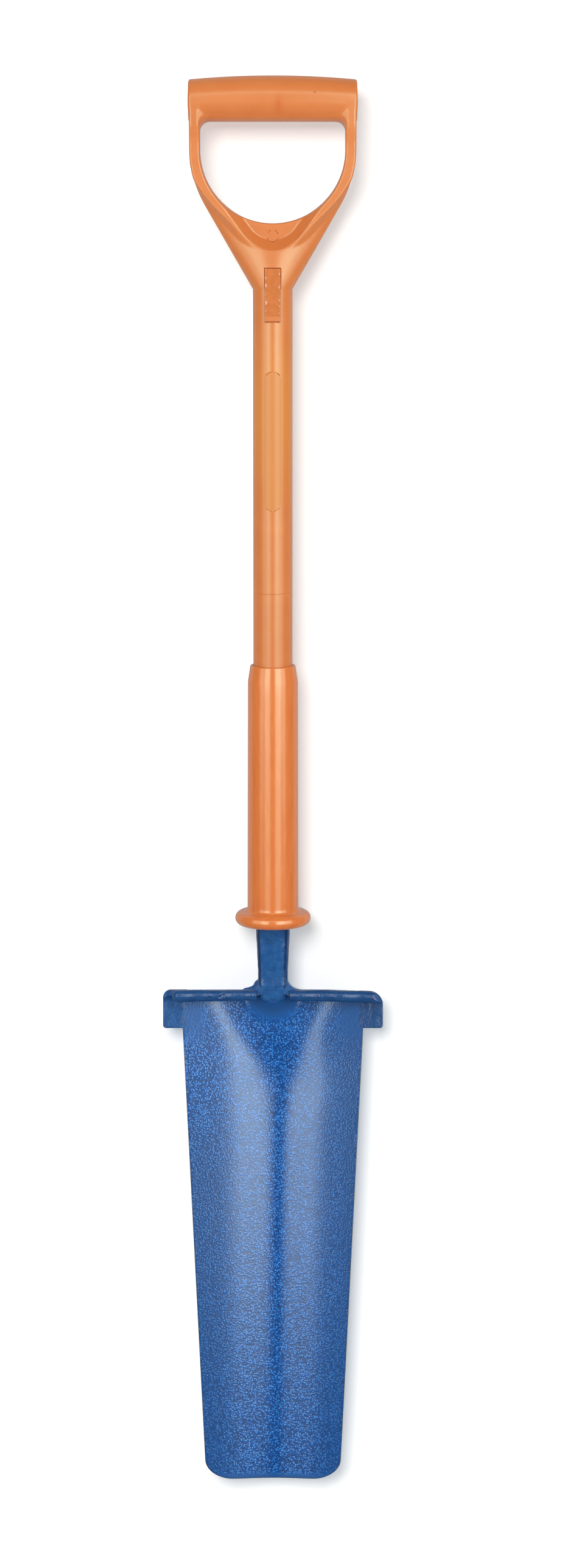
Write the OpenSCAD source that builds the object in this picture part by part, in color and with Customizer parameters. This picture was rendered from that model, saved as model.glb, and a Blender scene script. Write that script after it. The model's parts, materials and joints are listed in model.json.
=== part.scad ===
// Trenching spade: dished steel blade with treads, socket, insulated shaft and D-grip.
// Millimetres. Z up from the cutting edge, X across the blade, the hollow face looks along -Y.

/* [Blade] */
// cutting edge to the shoulder under the treads
blade_length = 401; // [300:1:480]
// across the blade at the shoulder
shoulder_width = 152.6; // [125:0.2:190]
// across the blade at the cutting edge, before its corners are rounded
tip_width = 110.8; // [85:0.2:150]
// rounding of the two bottom corners
tip_corner_radius = 15; // [6:0.5:30]
// hollow of the face at its deepest level
dish_depth = 10; // [5:0.5:16]
// plate at the shoulder
shoulder_thickness = 4.2; // [3:0.1:6]
// plate at the cutting edge
tip_thickness = 2.4; // [1.6:0.1:4]
// boss that carries the neck, above the shoulder
boss_height = 10; // [6:0.5:16]
// slope from the boss down into the hollow of the face
boss_slope_length = 36; // [20:1:60]

/* [Treads] */
// across both ears
tread_span = 182.4; // [165:0.2:230]
// top of the tread to the bottom of the ear
ear_height = 32; // [20:0.5:50]
// foot ledge
ledge_thickness = 5; // [4:0.5:8]
// rolled lip along the front of the ledge
lip_diameter = 9.5; // [7:0.5:14]
// middle of the lip in front of the blade's side edges
lip_reach = 11.2; // [9:0.2:18]
// outer end of the lip to the outer side of the ear
lip_end_setback = 6; // [2:0.5:14]
// rounding of the ear's top corner
ear_top_radius = 7; // [3:0.5:12]
// rounding of the ear's bottom corner
ear_bottom_radius = 2.5; // [1:0.5:6]
// reach of the weld between neck and tread, out from the neck
weld_reach = 14; // [8:0.5:20]
// rise of the weld up the neck
weld_rise = 13; // [8:0.5:20]

/* [Socket] */
// lean of the shaft towards the hollow face
lift_angle = 10; // [4:0.5:14]
// neck at the blade
neck_diameter = 24.7; // [20:0.1:28]
// parallel part of the neck, above the tread
neck_parallel = 18; // [10:1:40]
// top of the neck's taper, above the tread
taper_end = 89; // [80:1:120]
// mouth of the socket, above the tread
socket_end = 200; // [170:1:240]
// bottom of the socket's bore, above the tread
bore_start = 98; // [94:1:130]
// rod side glue gap
bond_gap = 0.3; // [0.1:0.05:0.5]
// cross rivets
rivet_diameter = 6; // [4:0.5:8]
// lower rivet, above the tread
rivet_start = 130; // [115:1:150]
// spacing of the rivets along the socket
rivet_spacing = 40; // [20:1:50]

/* [Sleeve] */
// middle of the guard flange, above the tread
flange_level = 61; // [45:1:75]
// guard flange
flange_diameter = 62.4; // [52:0.2:80]
// flange thickness at its round rim
flange_thickness = 11; // [7:0.5:14]
// sleeve at the flange
sleeve_bottom_diameter = 42; // [38:0.2:46]
// sleeve below its tapered top
sleeve_top_diameter = 41; // [37:0.2:45]
// rim of the sleeve's top
sleeve_rim_diameter = 37; // [35.6:0.2:40]
// tapered top of the sleeve
sleeve_taper_length = 12.5; // [6:0.5:24]
// top of the sleeve, above the tread
sleeve_end = 272; // [240:1:320]
// fillet from the flange to the sleeve
flange_fillet = 4.2; // [2:0.1:9]
// slack of the sleeve around the shaft
sleeve_slack = 0.2; // [0.1:0.05:0.5]

/* [Shaft] */
// jacket
shaft_diameter = 32; // [28:0.5:34]
// glass fibre rod
rod_diameter = 22; // [18:0.5:23]
// contrasting layer around the rod
sheath_thickness = 1.1; // [0.6:0.1:2]
// slack around the contrasting layer
sheath_slack = 0.1; // [0.05:0.05:0.3]
// top of the rod below the floor of the yoke's pocket
rod_cover = 12; // [6:0.5:25]
// label recess
label_recess_width = 13.2; // [10:0.2:18]
// label recess along the shaft
label_recess_length = 43; // [25:0.5:60]
// bottom of the label recess, below the yoke's start
label_recess_drop = 25.5; // [10:0.5:40]
// floor of the label recess under the shaft's front
label_recess_depth = 1.5; // [1:0.1:2.5]
// label film
label_thickness = 0.8; // [0.4:0.1:1.2]
// label shorter than its recess
label_shortfall = 5; // [1:0.5:12]
// side slack of the label in its recess
label_slack = 0.2; // [0.1:0.05:0.5]
// plain panel on the shaft
panel_width = 13.9; // [8:0.1:18]
// plain panel along the shaft
panel_length = 113; // [60:1:150]
// top of the panel, below the yoke's start
panel_drop = 65.6; // [50:0.2:100]
// sinking of the panel
panel_depth = 0.4; // [0.2:0.1:1]

/* [Grip] */
// top of the crossbar, above the tread
grip_top = 749.2; // [680:0.2:850]
// across the grip
grip_width = 135.6; // [120:0.2:150]
// crossbar in the middle
crossbar_diameter = 36.5; // [30:0.5:42]
// crossbar at its ends
crossbar_end_diameter = 33.3; // [28:0.5:40]
// rounding of the crossbar's ends
crossbar_end_round = 3; // [1:0.5:6]
// hand opening
opening_width = 116.8; // [100:0.2:128]
// hand opening under the crossbar
opening_height = 81.4; // [70:0.2:110]
// rounding of the opening's top corners
opening_corner_radius = 7.4; // [3:0.2:15]
// lower end of the arms' straight part, below the grip's top
arm_straight_drop = 55.7; // [40:0.2:80]
// outside bend from the arms into the yoke
arm_bend_radius = 96; // [60:1:140]
// slope of the yoke's sides from the shaft's axis
yoke_angle = 30; // [24:0.5:38]
// arms from front to back
arm_depth = 26; // [18:0.5:32]
// rounding of the arms' outer edges
arm_edge_round = 3; // [1:0.5:6]
// arms' outer sides inside the crossbar's ends
arm_inset = 0.4; // [0.2:0.1:2]
// web in the yoke's pocket
web_thickness = 9; // [5:0.5:14]
// rim of the yoke's pocket, below the opening
pocket_drop = 20.4; // [14:0.2:30]
// round bottom of the pocket's rim
pocket_radius = 30; // [20:0.5:40]
// slope of the pocket's wall, seen from the front
pocket_wall = 7; // [3:0.5:12]
// slope of the pocket's rim from the shaft's axis
pocket_angle = 36.5; // [30:0.5:45]
// round mark on the web
mark_diameter = 9.4; // [4:0.2:14]
// sinking of the mark
mark_depth = 0.3; // [0.1:0.1:1]
// hollow of the crossbar
grip_bore = 18; // [10:0.5:22]
// end plug heads
plug_diameter = 22.4; // [14:0.2:26]
// rim of the end plug heads
plug_head = 2; // [1:0.25:4]
// dome of the end plug heads
plug_dome = 0.5; // [0.2:0.1:2]
// stem of the end plugs
plug_stem = 12; // [6:0.5:20]
// slack around the end plugs
plug_slack = 0.1; // [0.05:0.05:0.3]

/* [Hidden] */
$fn = 64;

// cuts run past a face by this
overrun = 2;
// sheets that only mark a level in a hull
film = 0.02;
// face to face pieces stay apart by this
seat_gap = 0.03;
// edge left where a blend runs out on a flat wall
blend_edge = 0.15;

// blade
tread_top = blade_length + ledge_thickness;
boss_top = blade_length + boss_height;
neck_radius = neck_diameter / 2;
tip_dish_share = 0.65;
full_dish_share = 0.55;
dish_power = 2.2;
setback = dish_depth * tip_dish_share;
boss_side_share = 1.04;
boss_half = neck_radius * boss_side_share;
boss_step_share = 0.03;
boss_step = neck_radius * boss_step_share;
bell_top_share = 1.5;
bell_low_share = 2.5;
bell_power = 0.7;
slope_end_share = 0.12;
neck_flush_share = 0.9;

// socket and shaft
shaft_radius = shaft_diameter / 2;
rod_radius = rod_diameter / 2;
sheath_radius = rod_radius + sheath_thickness;
bore_radius = rod_radius + bond_gap;
cone_tip = bore_radius / 2;
sleeve_bore = shaft_radius + sleeve_slack;
flange_rim = flange_thickness / 2;
seal_setback_share = 0.2;
seal_start = flange_level - flange_rim + flange_thickness * seal_setback_share;
seal_end = taper_end - sleeve_slack;

// grip
grip_half = grip_width / 2;
arm_half = grip_half - arm_inset;
arm_half_depth = arm_depth / 2;
crossbar_bottom = grip_top - crossbar_diameter;
crossbar_end_radius = crossbar_end_diameter / 2;
crossbar_axis = crossbar_bottom + crossbar_end_radius;
bend_top = grip_top - arm_straight_drop;
bend_bottom = bend_top - arm_bend_radius * sin(yoke_angle);
bend_half = arm_half - arm_bend_radius * (1 - cos(yoke_angle));
yoke_start = bend_bottom - (bend_half - shaft_radius) / tan(yoke_angle);
opening_radius = opening_width / 2;
opening_bottom = crossbar_bottom - opening_height;
opening_centre = opening_bottom + opening_radius;
pocket_bottom = opening_bottom - pocket_drop;
pocket_centre = pocket_bottom + pocket_radius;
rod_end = pocket_bottom - rod_cover;
web_half = web_thickness / 2;
mark_lift_share = 0.4;
mark_level = pocket_bottom + pocket_wall + mark_diameter * mark_lift_share;
label_start = yoke_start - label_recess_drop;
label_floor = shaft_radius - label_recess_depth;
panel_end = yoke_start - panel_drop;

steel_blue = [0.16, 0.32, 0.60];
moulded_orange = [0.88, 0.50, 0.25];
sleeve_orange = [0.90, 0.46, 0.18];

function ease(q) = q <= 0 ? 0 : q >= 1 ? 1 : q * q * (3 - 2 * q);

// half of the blade's width at a level, before its corners are rounded
function half_width(z) = (tip_width + (shoulder_width - tip_width) * z / blade_length) / 2;

// how far a rounded bottom corner pulls the side in
function corner_inset(z) = z >= tip_corner_radius ? 0
    : tip_corner_radius - sqrt(pow(tip_corner_radius, 2) - pow(tip_corner_radius - z, 2));

function thickness(z) = tip_thickness + (shoulder_thickness - tip_thickness) * z / blade_length;

// hollow of the face at a level
function dish(z) = dish_depth * (tip_dish_share
    + (1 - tip_dish_share) * ease(z / (blade_length * full_dish_share)));

// middle of the plate, the cutting edge's middle being at zero
function plate(x, z) = dish(z) * (1 - pow(min(1, abs(x) / half_width(z)), dish_power)) - setback;

// middle of the neck from front to back
axis_setback = plate(0, blade_length) + shoulder_thickness / 2 - neck_radius * neck_flush_share;

// how much of the boss stands at a level, and how wide it spreads there
function boss_rise(z) = ease((z - blade_length + boss_slope_length)
    / (boss_slope_length * (1 - slope_end_share)));
function bell_half(z) = neck_radius * (bell_low_share + (bell_top_share - bell_low_share) * boss_rise(z));
function bell(x, z) = abs(x) >= bell_half(z) ? 0
    : pow((1 + cos(180 * abs(x) / bell_half(z))) / 2, bell_power);

function face_front(x, z) = let (bare = plate(x, z) - thickness(z) / 2,
        boss = axis_setback - neck_radius)
    bare + min(0, boss - plate(0, z) + thickness(z) / 2) * boss_rise(z) * bell(x, z);
function face_back(x, z) = let (bare = plate(x, z) + thickness(z) / 2,
        boss = axis_setback + neck_radius)
    bare + max(0, boss - plate(0, z) - thickness(z) / 2) * boss_rise(z) * bell(x, z);

// levels up the blade: round corners, then the body, closer together at the boss
corner_step_count = 6;
body_step_count = 14;
boss_step_count = 12;
slope_start = blade_length - boss_slope_length;
levels = concat(
    [for (i = [0 : corner_step_count - 1]) tip_corner_radius * (1 - cos(90 * i / corner_step_count))],
    [for (i = [0 : body_step_count - 1])
        tip_corner_radius + (slope_start - tip_corner_radius) * i / body_step_count],
    [for (i = [0 : boss_step_count]) slope_start + boss_slope_length * i / boss_step_count]);

// columns across the blade: shares below 1 lie on the boss, the rest on the plate beside it
boss_column_count = 8;
side_column_count = 11;
column_shares = concat(
    [for (i = [-side_column_count : -1]) i / side_column_count - 1],
    [for (i = [-boss_column_count : boss_column_count]) i / boss_column_count],
    [for (i = [1 : side_column_count]) 1 + i / side_column_count]);
first_step_share = 1 / side_column_count;

function column_x(c, z) = let (side = sign(c), far = half_width(z) - corner_inset(z), q = abs(c) - 1)
    abs(c) <= 1 ? c * boss_half
    : q <= first_step_share ? side * (boss_half + boss_step)
    : side * (boss_half + boss_step + (far - boss_half - boss_step)
        * (q - first_step_share) / (1 - first_step_share));
function column_z(c, z) = abs(c) <= 1 ? z * boss_top / blade_length : z;

module blade() {
    nx = len(column_shares);
    nz = len(levels);
    front = [for (z = levels) for (c = column_shares) let (h = column_z(c, z), x = column_x(c, z))
        [x, face_front(x, h), h]];
    back = [for (z = levels) for (c = column_shares) let (h = column_z(c, z), x = column_x(c, z))
        [x, face_back(x, h), h]];
    n = nx * nz;
    sheet = [for (j = [0 : nz - 2]) for (i = [0 : nx - 2]) [j * nx + i, j * nx + i + 1, (j + 1) * nx + i]];
    sheet_two = [for (j = [0 : nz - 2]) for (i = [0 : nx - 2])
        [j * nx + i + 1, (j + 1) * nx + i + 1, (j + 1) * nx + i]];
    faces = [for (f = concat(sheet, sheet_two)) [f[0], f[2], f[1]]];
    rear = [for (f = concat(sheet, sheet_two)) [f[0] + n, f[1] + n, f[2] + n]];
    rim = concat(
        [for (i = [0 : nx - 1]) i],
        [for (j = [1 : nz - 1]) j * nx + nx - 1],
        [for (i = [nx - 2 : -1 : 0]) (nz - 1) * nx + i],
        [for (j = [nz - 2 : -1 : 1]) j * nx]);
    m = len(rim);
    edge = [for (k = [0 : m - 1]) [rim[k], rim[(k + 1) % m], rim[k] + n]];
    edge_two = [for (k = [0 : m - 1]) [rim[(k + 1) % m], rim[(k + 1) % m] + n, rim[k] + n]];
    color(steel_blue)
        polyhedron(points = concat(front, back), faces = concat(faces, rear, edge, edge_two));
}

// treads, drawn for the right side
weld_foot = neck_radius + weld_reach;
tread_inner_share = 1.07;
tread_inner = neck_radius * tread_inner_share;
weld_bevel_share = 0.7;
ear_thickness = shoulder_thickness;
tread_half = tread_span / 2;
ledge_step_count = 16;

function ledge_back(x) = face_back(min(x, half_width(blade_length)), blade_length);

module tread_outline() {
    difference() {
        translate([0, tread_top - ear_height])
            square([tread_half, ear_height]);
        difference() {
            translate([tread_half - ear_top_radius, tread_top - ear_top_radius])
                square(ear_top_radius + overrun);
            translate([tread_half - ear_top_radius, tread_top - ear_top_radius])
                circle(ear_top_radius);
        }
        difference() {
            translate([tread_half - ear_bottom_radius, tread_top - ear_height - overrun])
                square([ear_bottom_radius + overrun, ear_bottom_radius + overrun]);
            translate([tread_half - ear_bottom_radius, tread_top - ear_height + ear_bottom_radius])
                circle(ear_bottom_radius);
        }
    }
}

module ledge_plan() {
    front = -setback - lip_reach;
    polygon(concat(
        [[tread_inner, front], [tread_half, front]],
        [for (i = [0 : ledge_step_count])
            let (x = tread_half + (tread_inner - tread_half) * i / ledge_step_count)
            [x, ledge_back(x)]]));
}

module ear_plate() {
    low = tread_top - ear_height;
    translate([0, -setback + ear_thickness / 2, 0])
        rotate([90, 0, 0])
            linear_extrude(ear_thickness)
                polygon([
                    [half_width(low) + seat_gap, low],
                    [tread_half, low],
                    [tread_half, tread_top],
                    [half_width(blade_length) + seat_gap, tread_top]]);
}

module tread() {
    lip_radius = lip_diameter / 2;
    lip_level = tread_top - lip_radius;
    lip_front = -setback - lip_reach;
    lip_length = tread_half - lip_end_setback - lip_radius - tread_inner;
    difference() {
        intersection() {
            union() {
                translate([0, 0, blade_length + seat_gap])
                    linear_extrude(ledge_thickness - seat_gap)
                        ledge_plan();
                ear_plate();
            }
            translate([0, tread_span / 2, 0])
                rotate([90, 0, 0])
                    linear_extrude(tread_span)
                        tread_outline();
        }
        translate([0, 0, tread_top])
            weld_bevel_cut();
        translate([0, lip_front, 0])
            lip_clearance(lip_length, lip_radius, lip_level);
    }
    translate([tread_inner, lip_front, lip_level])
        rotate([0, 90, 0])
            cylinder(h = lip_length, r = lip_radius);
    translate([tread_inner + lip_length, lip_front, lip_level])
        sphere(lip_radius);
}

// ledge ahead of the lip's middle beyond the lip's end, so that the corner is cut back to the ear
module lip_clearance(lip_length, lip_radius, lip_level) {
    translate([tread_inner + lip_length, -overrun, lip_level - lip_radius - overrun])
        rotate([0, 0, -atan2(lip_reach, lip_end_setback + lip_radius) / 2])
            translate([lip_radius, -tread_span, 0])
                cube([tread_span, tread_span, lip_diameter + 2 * overrun]);
}

// slanted cut for the weld at the tread's inner end, from the tread's top
module weld_bevel_cut() {
    depth = ledge_thickness * weld_bevel_share;
    translate([0, tread_span / 2, 0])
        rotate([90, 0, 0])
            linear_extrude(tread_span)
                polygon([
                    [tread_inner - overrun, -depth - overrun * depth / (weld_foot - tread_inner)],
                    [weld_foot, 0],
                    [weld_foot, overrun],
                    [tread_inner - overrun, overrun]]);
}

// weld from the neck to the tread, drawn for the right side
weld_front_share = 0.55;
module neck_weld() {
    depth = ledge_thickness * weld_bevel_share;
    front = axis_setback - neck_radius * weld_front_share;
    back = ledge_back(weld_foot);
    rise = tread_top + weld_rise;
    inner = tread_inner + seat_gap;
    difference() {
        translate([0, back, 0])
            rotate([90, 0, 0])
                linear_extrude(back - front)
                    difference() {
                        polygon([
                            [inner, tread_top - depth + seat_gap],
                            [weld_foot, tread_top + seat_gap],
                            [weld_foot, rise],
                            [neck_radius / 2, rise],
                            [neck_radius / 2, boss_top + seat_gap],
                            [inner, boss_top + seat_gap]]);
                        translate([weld_foot + seat_gap, rise])
                            scale([weld_reach / weld_rise, 1])
                                circle(weld_rise - seat_gap);
                    }
        along_shaft()
            translate([0, 0, -boss_top])
                cylinder(h = boss_top * 2, r = neck_radius + seat_gap);
    }
}

module right_tread()
    color(steel_blue)
        tread();

module left_tread()
    color(steel_blue)
        mirror([1, 0, 0])
            tread();

module right_neck_weld()
    color(steel_blue)
        neck_weld();

module left_neck_weld()
    color(steel_blue)
        mirror([1, 0, 0])
            neck_weld();

// shaft coordinates: Z runs up the shaft from the treads' level, the front is -Y
module along_shaft()
    translate([0, axis_setback, tread_top])
        rotate([lift_angle, 0, 0])
            children();

module rivet_holes(slack) {
    for (i = [0, 1])
        translate([0, 0, rivet_start + i * rivet_spacing])
            rotate([90, 0, 0])
                cylinder(h = shaft_diameter + 2 * overrun, r = rivet_diameter / 2 + slack, center = true);
}

module socket() {
    low = -boss_top;
    color(steel_blue)
        difference() {
            along_shaft()
                difference() {
                    rotate_extrude()
                        polygon([
                            [0, low],
                            [neck_radius, low],
                            [neck_radius, neck_parallel],
                            [shaft_radius, taper_end],
                            [shaft_radius, socket_end],
                            [bore_radius, socket_end],
                            [bore_radius, bore_start],
                            [0, bore_start - cone_tip]]);
                    rivet_holes(seat_gap);
                }
            translate([-tread_span, -tread_top, boss_top + seat_gap - tread_top * 3])
                cube([tread_span * 2, tread_top * 2, tread_top * 3]);
        }
}

module resin_bond()
    color([0.85, 0.75, 0.45])
        along_shaft()
            difference() {
                translate([0, 0, bore_start])
                    cylinder(h = socket_end - bore_start, r = bore_radius);
                translate([0, 0, bore_start + bond_gap])
                    cylinder(h = socket_end, r = rod_radius);
                rivet_holes(seat_gap);
            }

module socket_rivets()
    color([0.55, 0.56, 0.58])
        along_shaft()
            intersection() {
                rivet_holes(0);
                cylinder(h = socket_end, r = shaft_radius);
            }

module core_rod()
    color([0.80, 0.82, 0.70])
        along_shaft()
            difference() {
                translate([0, 0, bore_start + bond_gap])
                    cylinder(h = rod_end - bore_start - bond_gap, r = rod_radius);
                rivet_holes(seat_gap);
            }

module indicator_sheath()
    color([0.95, 0.80, 0.15])
        along_shaft()
            difference() {
                translate([0, 0, socket_end + seat_gap])
                    cylinder(h = rod_end - socket_end - seat_gap, r = sheath_radius);
                cylinder(h = grip_top, r = rod_radius);
            }

module insulating_sleeve() {
    low = flange_level - flange_rim;
    rim_centre = flange_diameter / 2 - flange_rim;
    bottom_radius = sleeve_bottom_diameter / 2;
    fillet = min(flange_fillet, rim_centre - bottom_radius - blend_edge);
    fillet_level = flange_level + flange_rim + fillet;
    taper_level = sleeve_end - sleeve_taper_length;
    color(sleeve_orange)
        along_shaft()
            rotate_extrude() {
                polygon([
                    [sleeve_bore, low],
                    [rim_centre, low],
                    [rim_centre, flange_level + flange_rim],
                    [bottom_radius, flange_level + flange_rim],
                    [bottom_radius, fillet_level],
                    [sleeve_top_diameter / 2, taper_level],
                    [sleeve_rim_diameter / 2, sleeve_end],
                    [sleeve_bore, sleeve_end]]);
                translate([rim_centre, flange_level])
                    circle(flange_rim);
                difference() {
                    translate([sleeve_bore, flange_level])
                        square([bottom_radius + fillet - sleeve_bore, fillet_level - flange_level]);
                    translate([bottom_radius + fillet, fillet_level])
                        circle(fillet);
                }
            }
}

// radius of the neck at a level
function neck_at(s) = s <= neck_parallel ? neck_radius
    : neck_radius + (shaft_radius - neck_radius) * (s - neck_parallel) / (taper_end - neck_parallel);

module sleeve_seal()
    color([0.20, 0.20, 0.22])
        along_shaft()
            rotate_extrude()
                polygon([
                    [neck_at(seal_start) + seat_gap, seal_start],
                    [sleeve_bore - seat_gap, seal_start],
                    [sleeve_bore - seat_gap, seal_end],
                    [neck_at(seal_end) + seat_gap, seal_end]]);

// yoke and arms: half of the width, half of the depth and the edge rounding at a level
function grip_side(s) = s >= bend_top ? arm_half
    : s >= bend_bottom ? arm_half - arm_bend_radius + sqrt(pow(arm_bend_radius, 2) - pow(bend_top - s, 2))
    : max(shaft_radius, bend_half - (bend_bottom - s) * tan(yoke_angle));
function yoke_share(s) = ease((s - yoke_start) / (bend_bottom - yoke_start));
function grip_depth(s) = shaft_radius + (arm_half_depth - shaft_radius) * yoke_share(s);
function grip_round(s) = min(grip_depth(s), shaft_radius + (arm_edge_round - shaft_radius) * yoke_share(s));

corner_point_count = 10;
function section(s) = let (h = grip_side(s), d = grip_depth(s), r = grip_round(s))
    [for (q = [0 : 3]) for (i = [0 : corner_point_count - 1])
        let (a = 90 * q + 90 * (i + 0.5) / corner_point_count,
            x = (q == 0 || q == 3 ? 1 : -1) * (h - r),
            y = (q <= 1 ? 1 : -1) * (d - r))
        [x + r * cos(a), y + r * sin(a), s]];

yoke_step_count = 14;
bend_step_count = 8;
grip_levels = concat(
    [socket_end + seat_gap],
    [for (i = [0 : yoke_step_count - 1]) yoke_start + (bend_bottom - yoke_start) * i / yoke_step_count],
    [for (i = [0 : bend_step_count]) bend_bottom + (bend_top - bend_bottom) * i / bend_step_count],
    [crossbar_axis]);

module shaft_and_arms() {
    rings = [for (s = grip_levels) section(s)];
    nr = len(rings);
    np = corner_point_count * 4;
    points = [for (r = rings) for (p = r) p];
    walls = [for (j = [0 : nr - 2]) for (i = [0 : np - 1])
        [j * np + i, (j + 1) * np + i, j * np + (i + 1) % np]];
    walls_two = [for (j = [0 : nr - 2]) for (i = [0 : np - 1])
        [j * np + (i + 1) % np, (j + 1) * np + i, (j + 1) * np + (i + 1) % np]];
    caps = [[for (i = [0 : np - 1]) i], [for (i = [np - 1 : -1 : 0]) (nr - 1) * np + i]];
    polyhedron(points = points, faces = concat(walls, walls_two, caps));
}

// rings along the crossbar: straight underside, crowned top, round ends
crossbar_step_count = 8;
crossbar_point_count = 48;
end_step_count = 4;
crossbar_span = grip_half - crossbar_end_round;
function crossbar_radius(q) = crossbar_end_radius
    + (crossbar_diameter - crossbar_end_diameter) / 2 * (1 - q * q);
function end_turn(i) = 90 * i / end_step_count;
function end_radius(i) = crossbar_end_radius - crossbar_end_round * (1 - cos(end_turn(i)));
function end_x(i) = crossbar_span + crossbar_end_round * sin(end_turn(i));
crossbar_rings = concat(
    [for (i = [end_step_count : -1 : 1]) [-end_x(i), end_radius(i), crossbar_axis]],
    [for (i = [-crossbar_step_count : crossbar_step_count]) let (r = crossbar_radius(i / crossbar_step_count))
        [crossbar_span * i / crossbar_step_count, r, crossbar_bottom + r]],
    [for (i = [1 : end_step_count]) [end_x(i), end_radius(i), crossbar_axis]]);

module crossbar() {
    nr = len(crossbar_rings);
    np = crossbar_point_count;
    points = [for (r = crossbar_rings) for (i = [0 : np - 1]) let (a = 360 * (i + 0.5) / np)
        [r[0], r[1] * cos(a), r[2] + r[1] * sin(a)]];
    walls = [for (j = [0 : nr - 2]) for (i = [0 : np - 1])
        [j * np + i, (j + 1) * np + i, j * np + (i + 1) % np]];
    walls_two = [for (j = [0 : nr - 2]) for (i = [0 : np - 1])
        [j * np + (i + 1) % np, (j + 1) * np + i, (j + 1) * np + (i + 1) % np]];
    caps = [[for (i = [0 : np - 1]) i], [for (i = [np - 1 : -1 : 0]) (nr - 1) * np + i]];
    polyhedron(points = points, faces = concat(walls, walls_two, caps));
}

// blends between an arm and the crossbar, front and back, with the opening's corner rounded
gusset_round = arm_edge_round / 2;
gusset_foot_share = 1.2;
module corner_gusset(side, face) {
    arm = opening_radius + gusset_round;
    depth = arm_half_depth - gusset_round;
    foot = crossbar_bottom - opening_corner_radius * gusset_foot_share;
    tip = opening_radius - opening_corner_radius * gusset_foot_share;
    tip_x = opening_radius - opening_corner_radius;
    difference() {
        hull() {
            for (y = [0, depth])
                for (s = [crossbar_axis, foot])
                    translate([side * arm, face * y, s])
                        sphere(gusset_round, $fn = 16);
            for (y = [0, depth / 2])
                translate([side * tip, face * y, crossbar_bottom + gusset_round])
                    sphere(gusset_round, $fn = 16);
        }
        translate([side * (tip_x - blend_edge), 0, crossbar_bottom - opening_corner_radius])
            rotate([90, 0, 0])
                cylinder(h = shaft_diameter + 2 * overrun, r = opening_corner_radius, center = true);
    }
}

module opening_shape() {
    top = crossbar_axis + overrun;
    polygon(concat(
        [for (i = [0 : 36]) let (a = 180 + 5 * i)
            [opening_radius * cos(a), opening_centre + opening_radius * sin(a)]],
        [[opening_radius, top], [-opening_radius, top]]));
}

module pocket_shape(r) {
    rise = opening_radius;
    hull() {
        for (side = [-1, 0, 1])
            translate([side * rise * tan(pocket_angle), pocket_centre + abs(side) * rise])
                circle(r);
    }
}

module pocket(face) {
    rim = arm_half_depth - web_half;
    reach = shaft_radius + overrun - web_half;
    flare = pocket_wall * reach / rim;
    rotate([90, 0, 0])
        hull() {
            translate([0, 0, face * web_half])
                linear_extrude(film, center = true)
                    pocket_shape(pocket_radius - pocket_wall);
            translate([0, 0, face * (web_half + reach)])
                linear_extrude(film, center = true)
                    pocket_shape(pocket_radius - pocket_wall + flare);
        }
}

module panel_shape() {
    r = panel_width / 2;
    for (s = [panel_end - r, panel_end - panel_length + r])
        translate([0, s])
            circle(r);
    translate([-r, panel_end - panel_length + r])
        square([panel_width, panel_length - panel_width]);
}

module handle_moulding() {
    color(moulded_orange)
        along_shaft()
            difference() {
                union() {
                    difference() {
                        shaft_and_arms();
                        rotate([90, 0, 0])
                            linear_extrude(shaft_diameter + 2 * overrun, center = true)
                                opening_shape();
                        for (face = [-1, 1])
                            pocket(face);
                    }
                    crossbar();
                    for (side = [-1, 1])
                        for (face = [-1, 1])
                            corner_gusset(side, face);
                }
                translate([0, 0, socket_end - overrun])
                    cylinder(
                        h = rod_end + sheath_slack - socket_end + overrun,
                        r = sheath_radius + sheath_slack);
                translate([0, 0, crossbar_axis])
                    rotate([0, 90, 0])
                        cylinder(h = grip_width + 2 * overrun, d = grip_bore, center = true);
                for (side = [0, 1])
                    mirror([side, 0, 0])
                        translate([grip_half - plug_head, 0, crossbar_axis])
                            rotate([0, 90, 0])
                                cylinder(h = plug_head + overrun, r = plug_diameter / 2 + plug_slack);
                translate([-label_recess_width / 2, -label_floor - shaft_radius, label_start])
                    cube([label_recess_width, shaft_radius, label_recess_length]);
                difference() {
                    rotate([90, 0, 0])
                        linear_extrude(shaft_diameter)
                            panel_shape();
                    cylinder(h = grip_top, r = shaft_radius - panel_depth, $fn = 96);
                }
                for (face = [-1, 1])
                    translate([0, face * web_half, mark_level])
                        rotate([90, 0, 0])
                            cylinder(h = 2 * mark_depth, d = mark_diameter, center = true);
            }
}

// end plug on the right, its head outwards
module end_plug() {
    dome_radius = (pow(plug_diameter / 2, 2) + pow(plug_dome, 2)) / (2 * plug_dome);
    stem_radius = grip_bore / 2 - plug_slack;
    along_shaft()
        translate([grip_half - plug_head + seat_gap, 0, crossbar_axis])
            rotate([0, 90, 0]) {
                cylinder(h = plug_head - seat_gap, d = plug_diameter);
                translate([0, 0, -plug_stem])
                    cylinder(h = plug_stem + plug_head / 2, r = stem_radius);
                intersection() {
                    translate([0, 0, plug_head - seat_gap + plug_dome - dome_radius])
                        sphere(dome_radius);
                    translate([0, 0, plug_head / 2])
                        cylinder(h = plug_head, d = plug_diameter);
                }
            }
}

module right_end_plug()
    color(moulded_orange)
        end_plug();

module left_end_plug()
    color(moulded_orange)
        mirror([1, 0, 0])
            end_plug();

module label() {
    width = label_recess_width - 2 * label_slack;
    length = label_recess_length - label_shortfall;
    low = label_start + label_shortfall - label_slack;
    color([0.93, 0.55, 0.28])
        along_shaft()
            translate([-width / 2, -label_floor - label_thickness, low])
                cube([width, label_thickness - seat_gap, length]);
}

blade();
left_tread();
right_tread();
left_neck_weld();
right_neck_weld();
socket();
resin_bond();
socket_rivets();
core_rod();
indicator_sheath();
insulating_sleeve();
sleeve_seal();
handle_moulding();
left_end_plug();
right_end_plug();
label();
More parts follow.
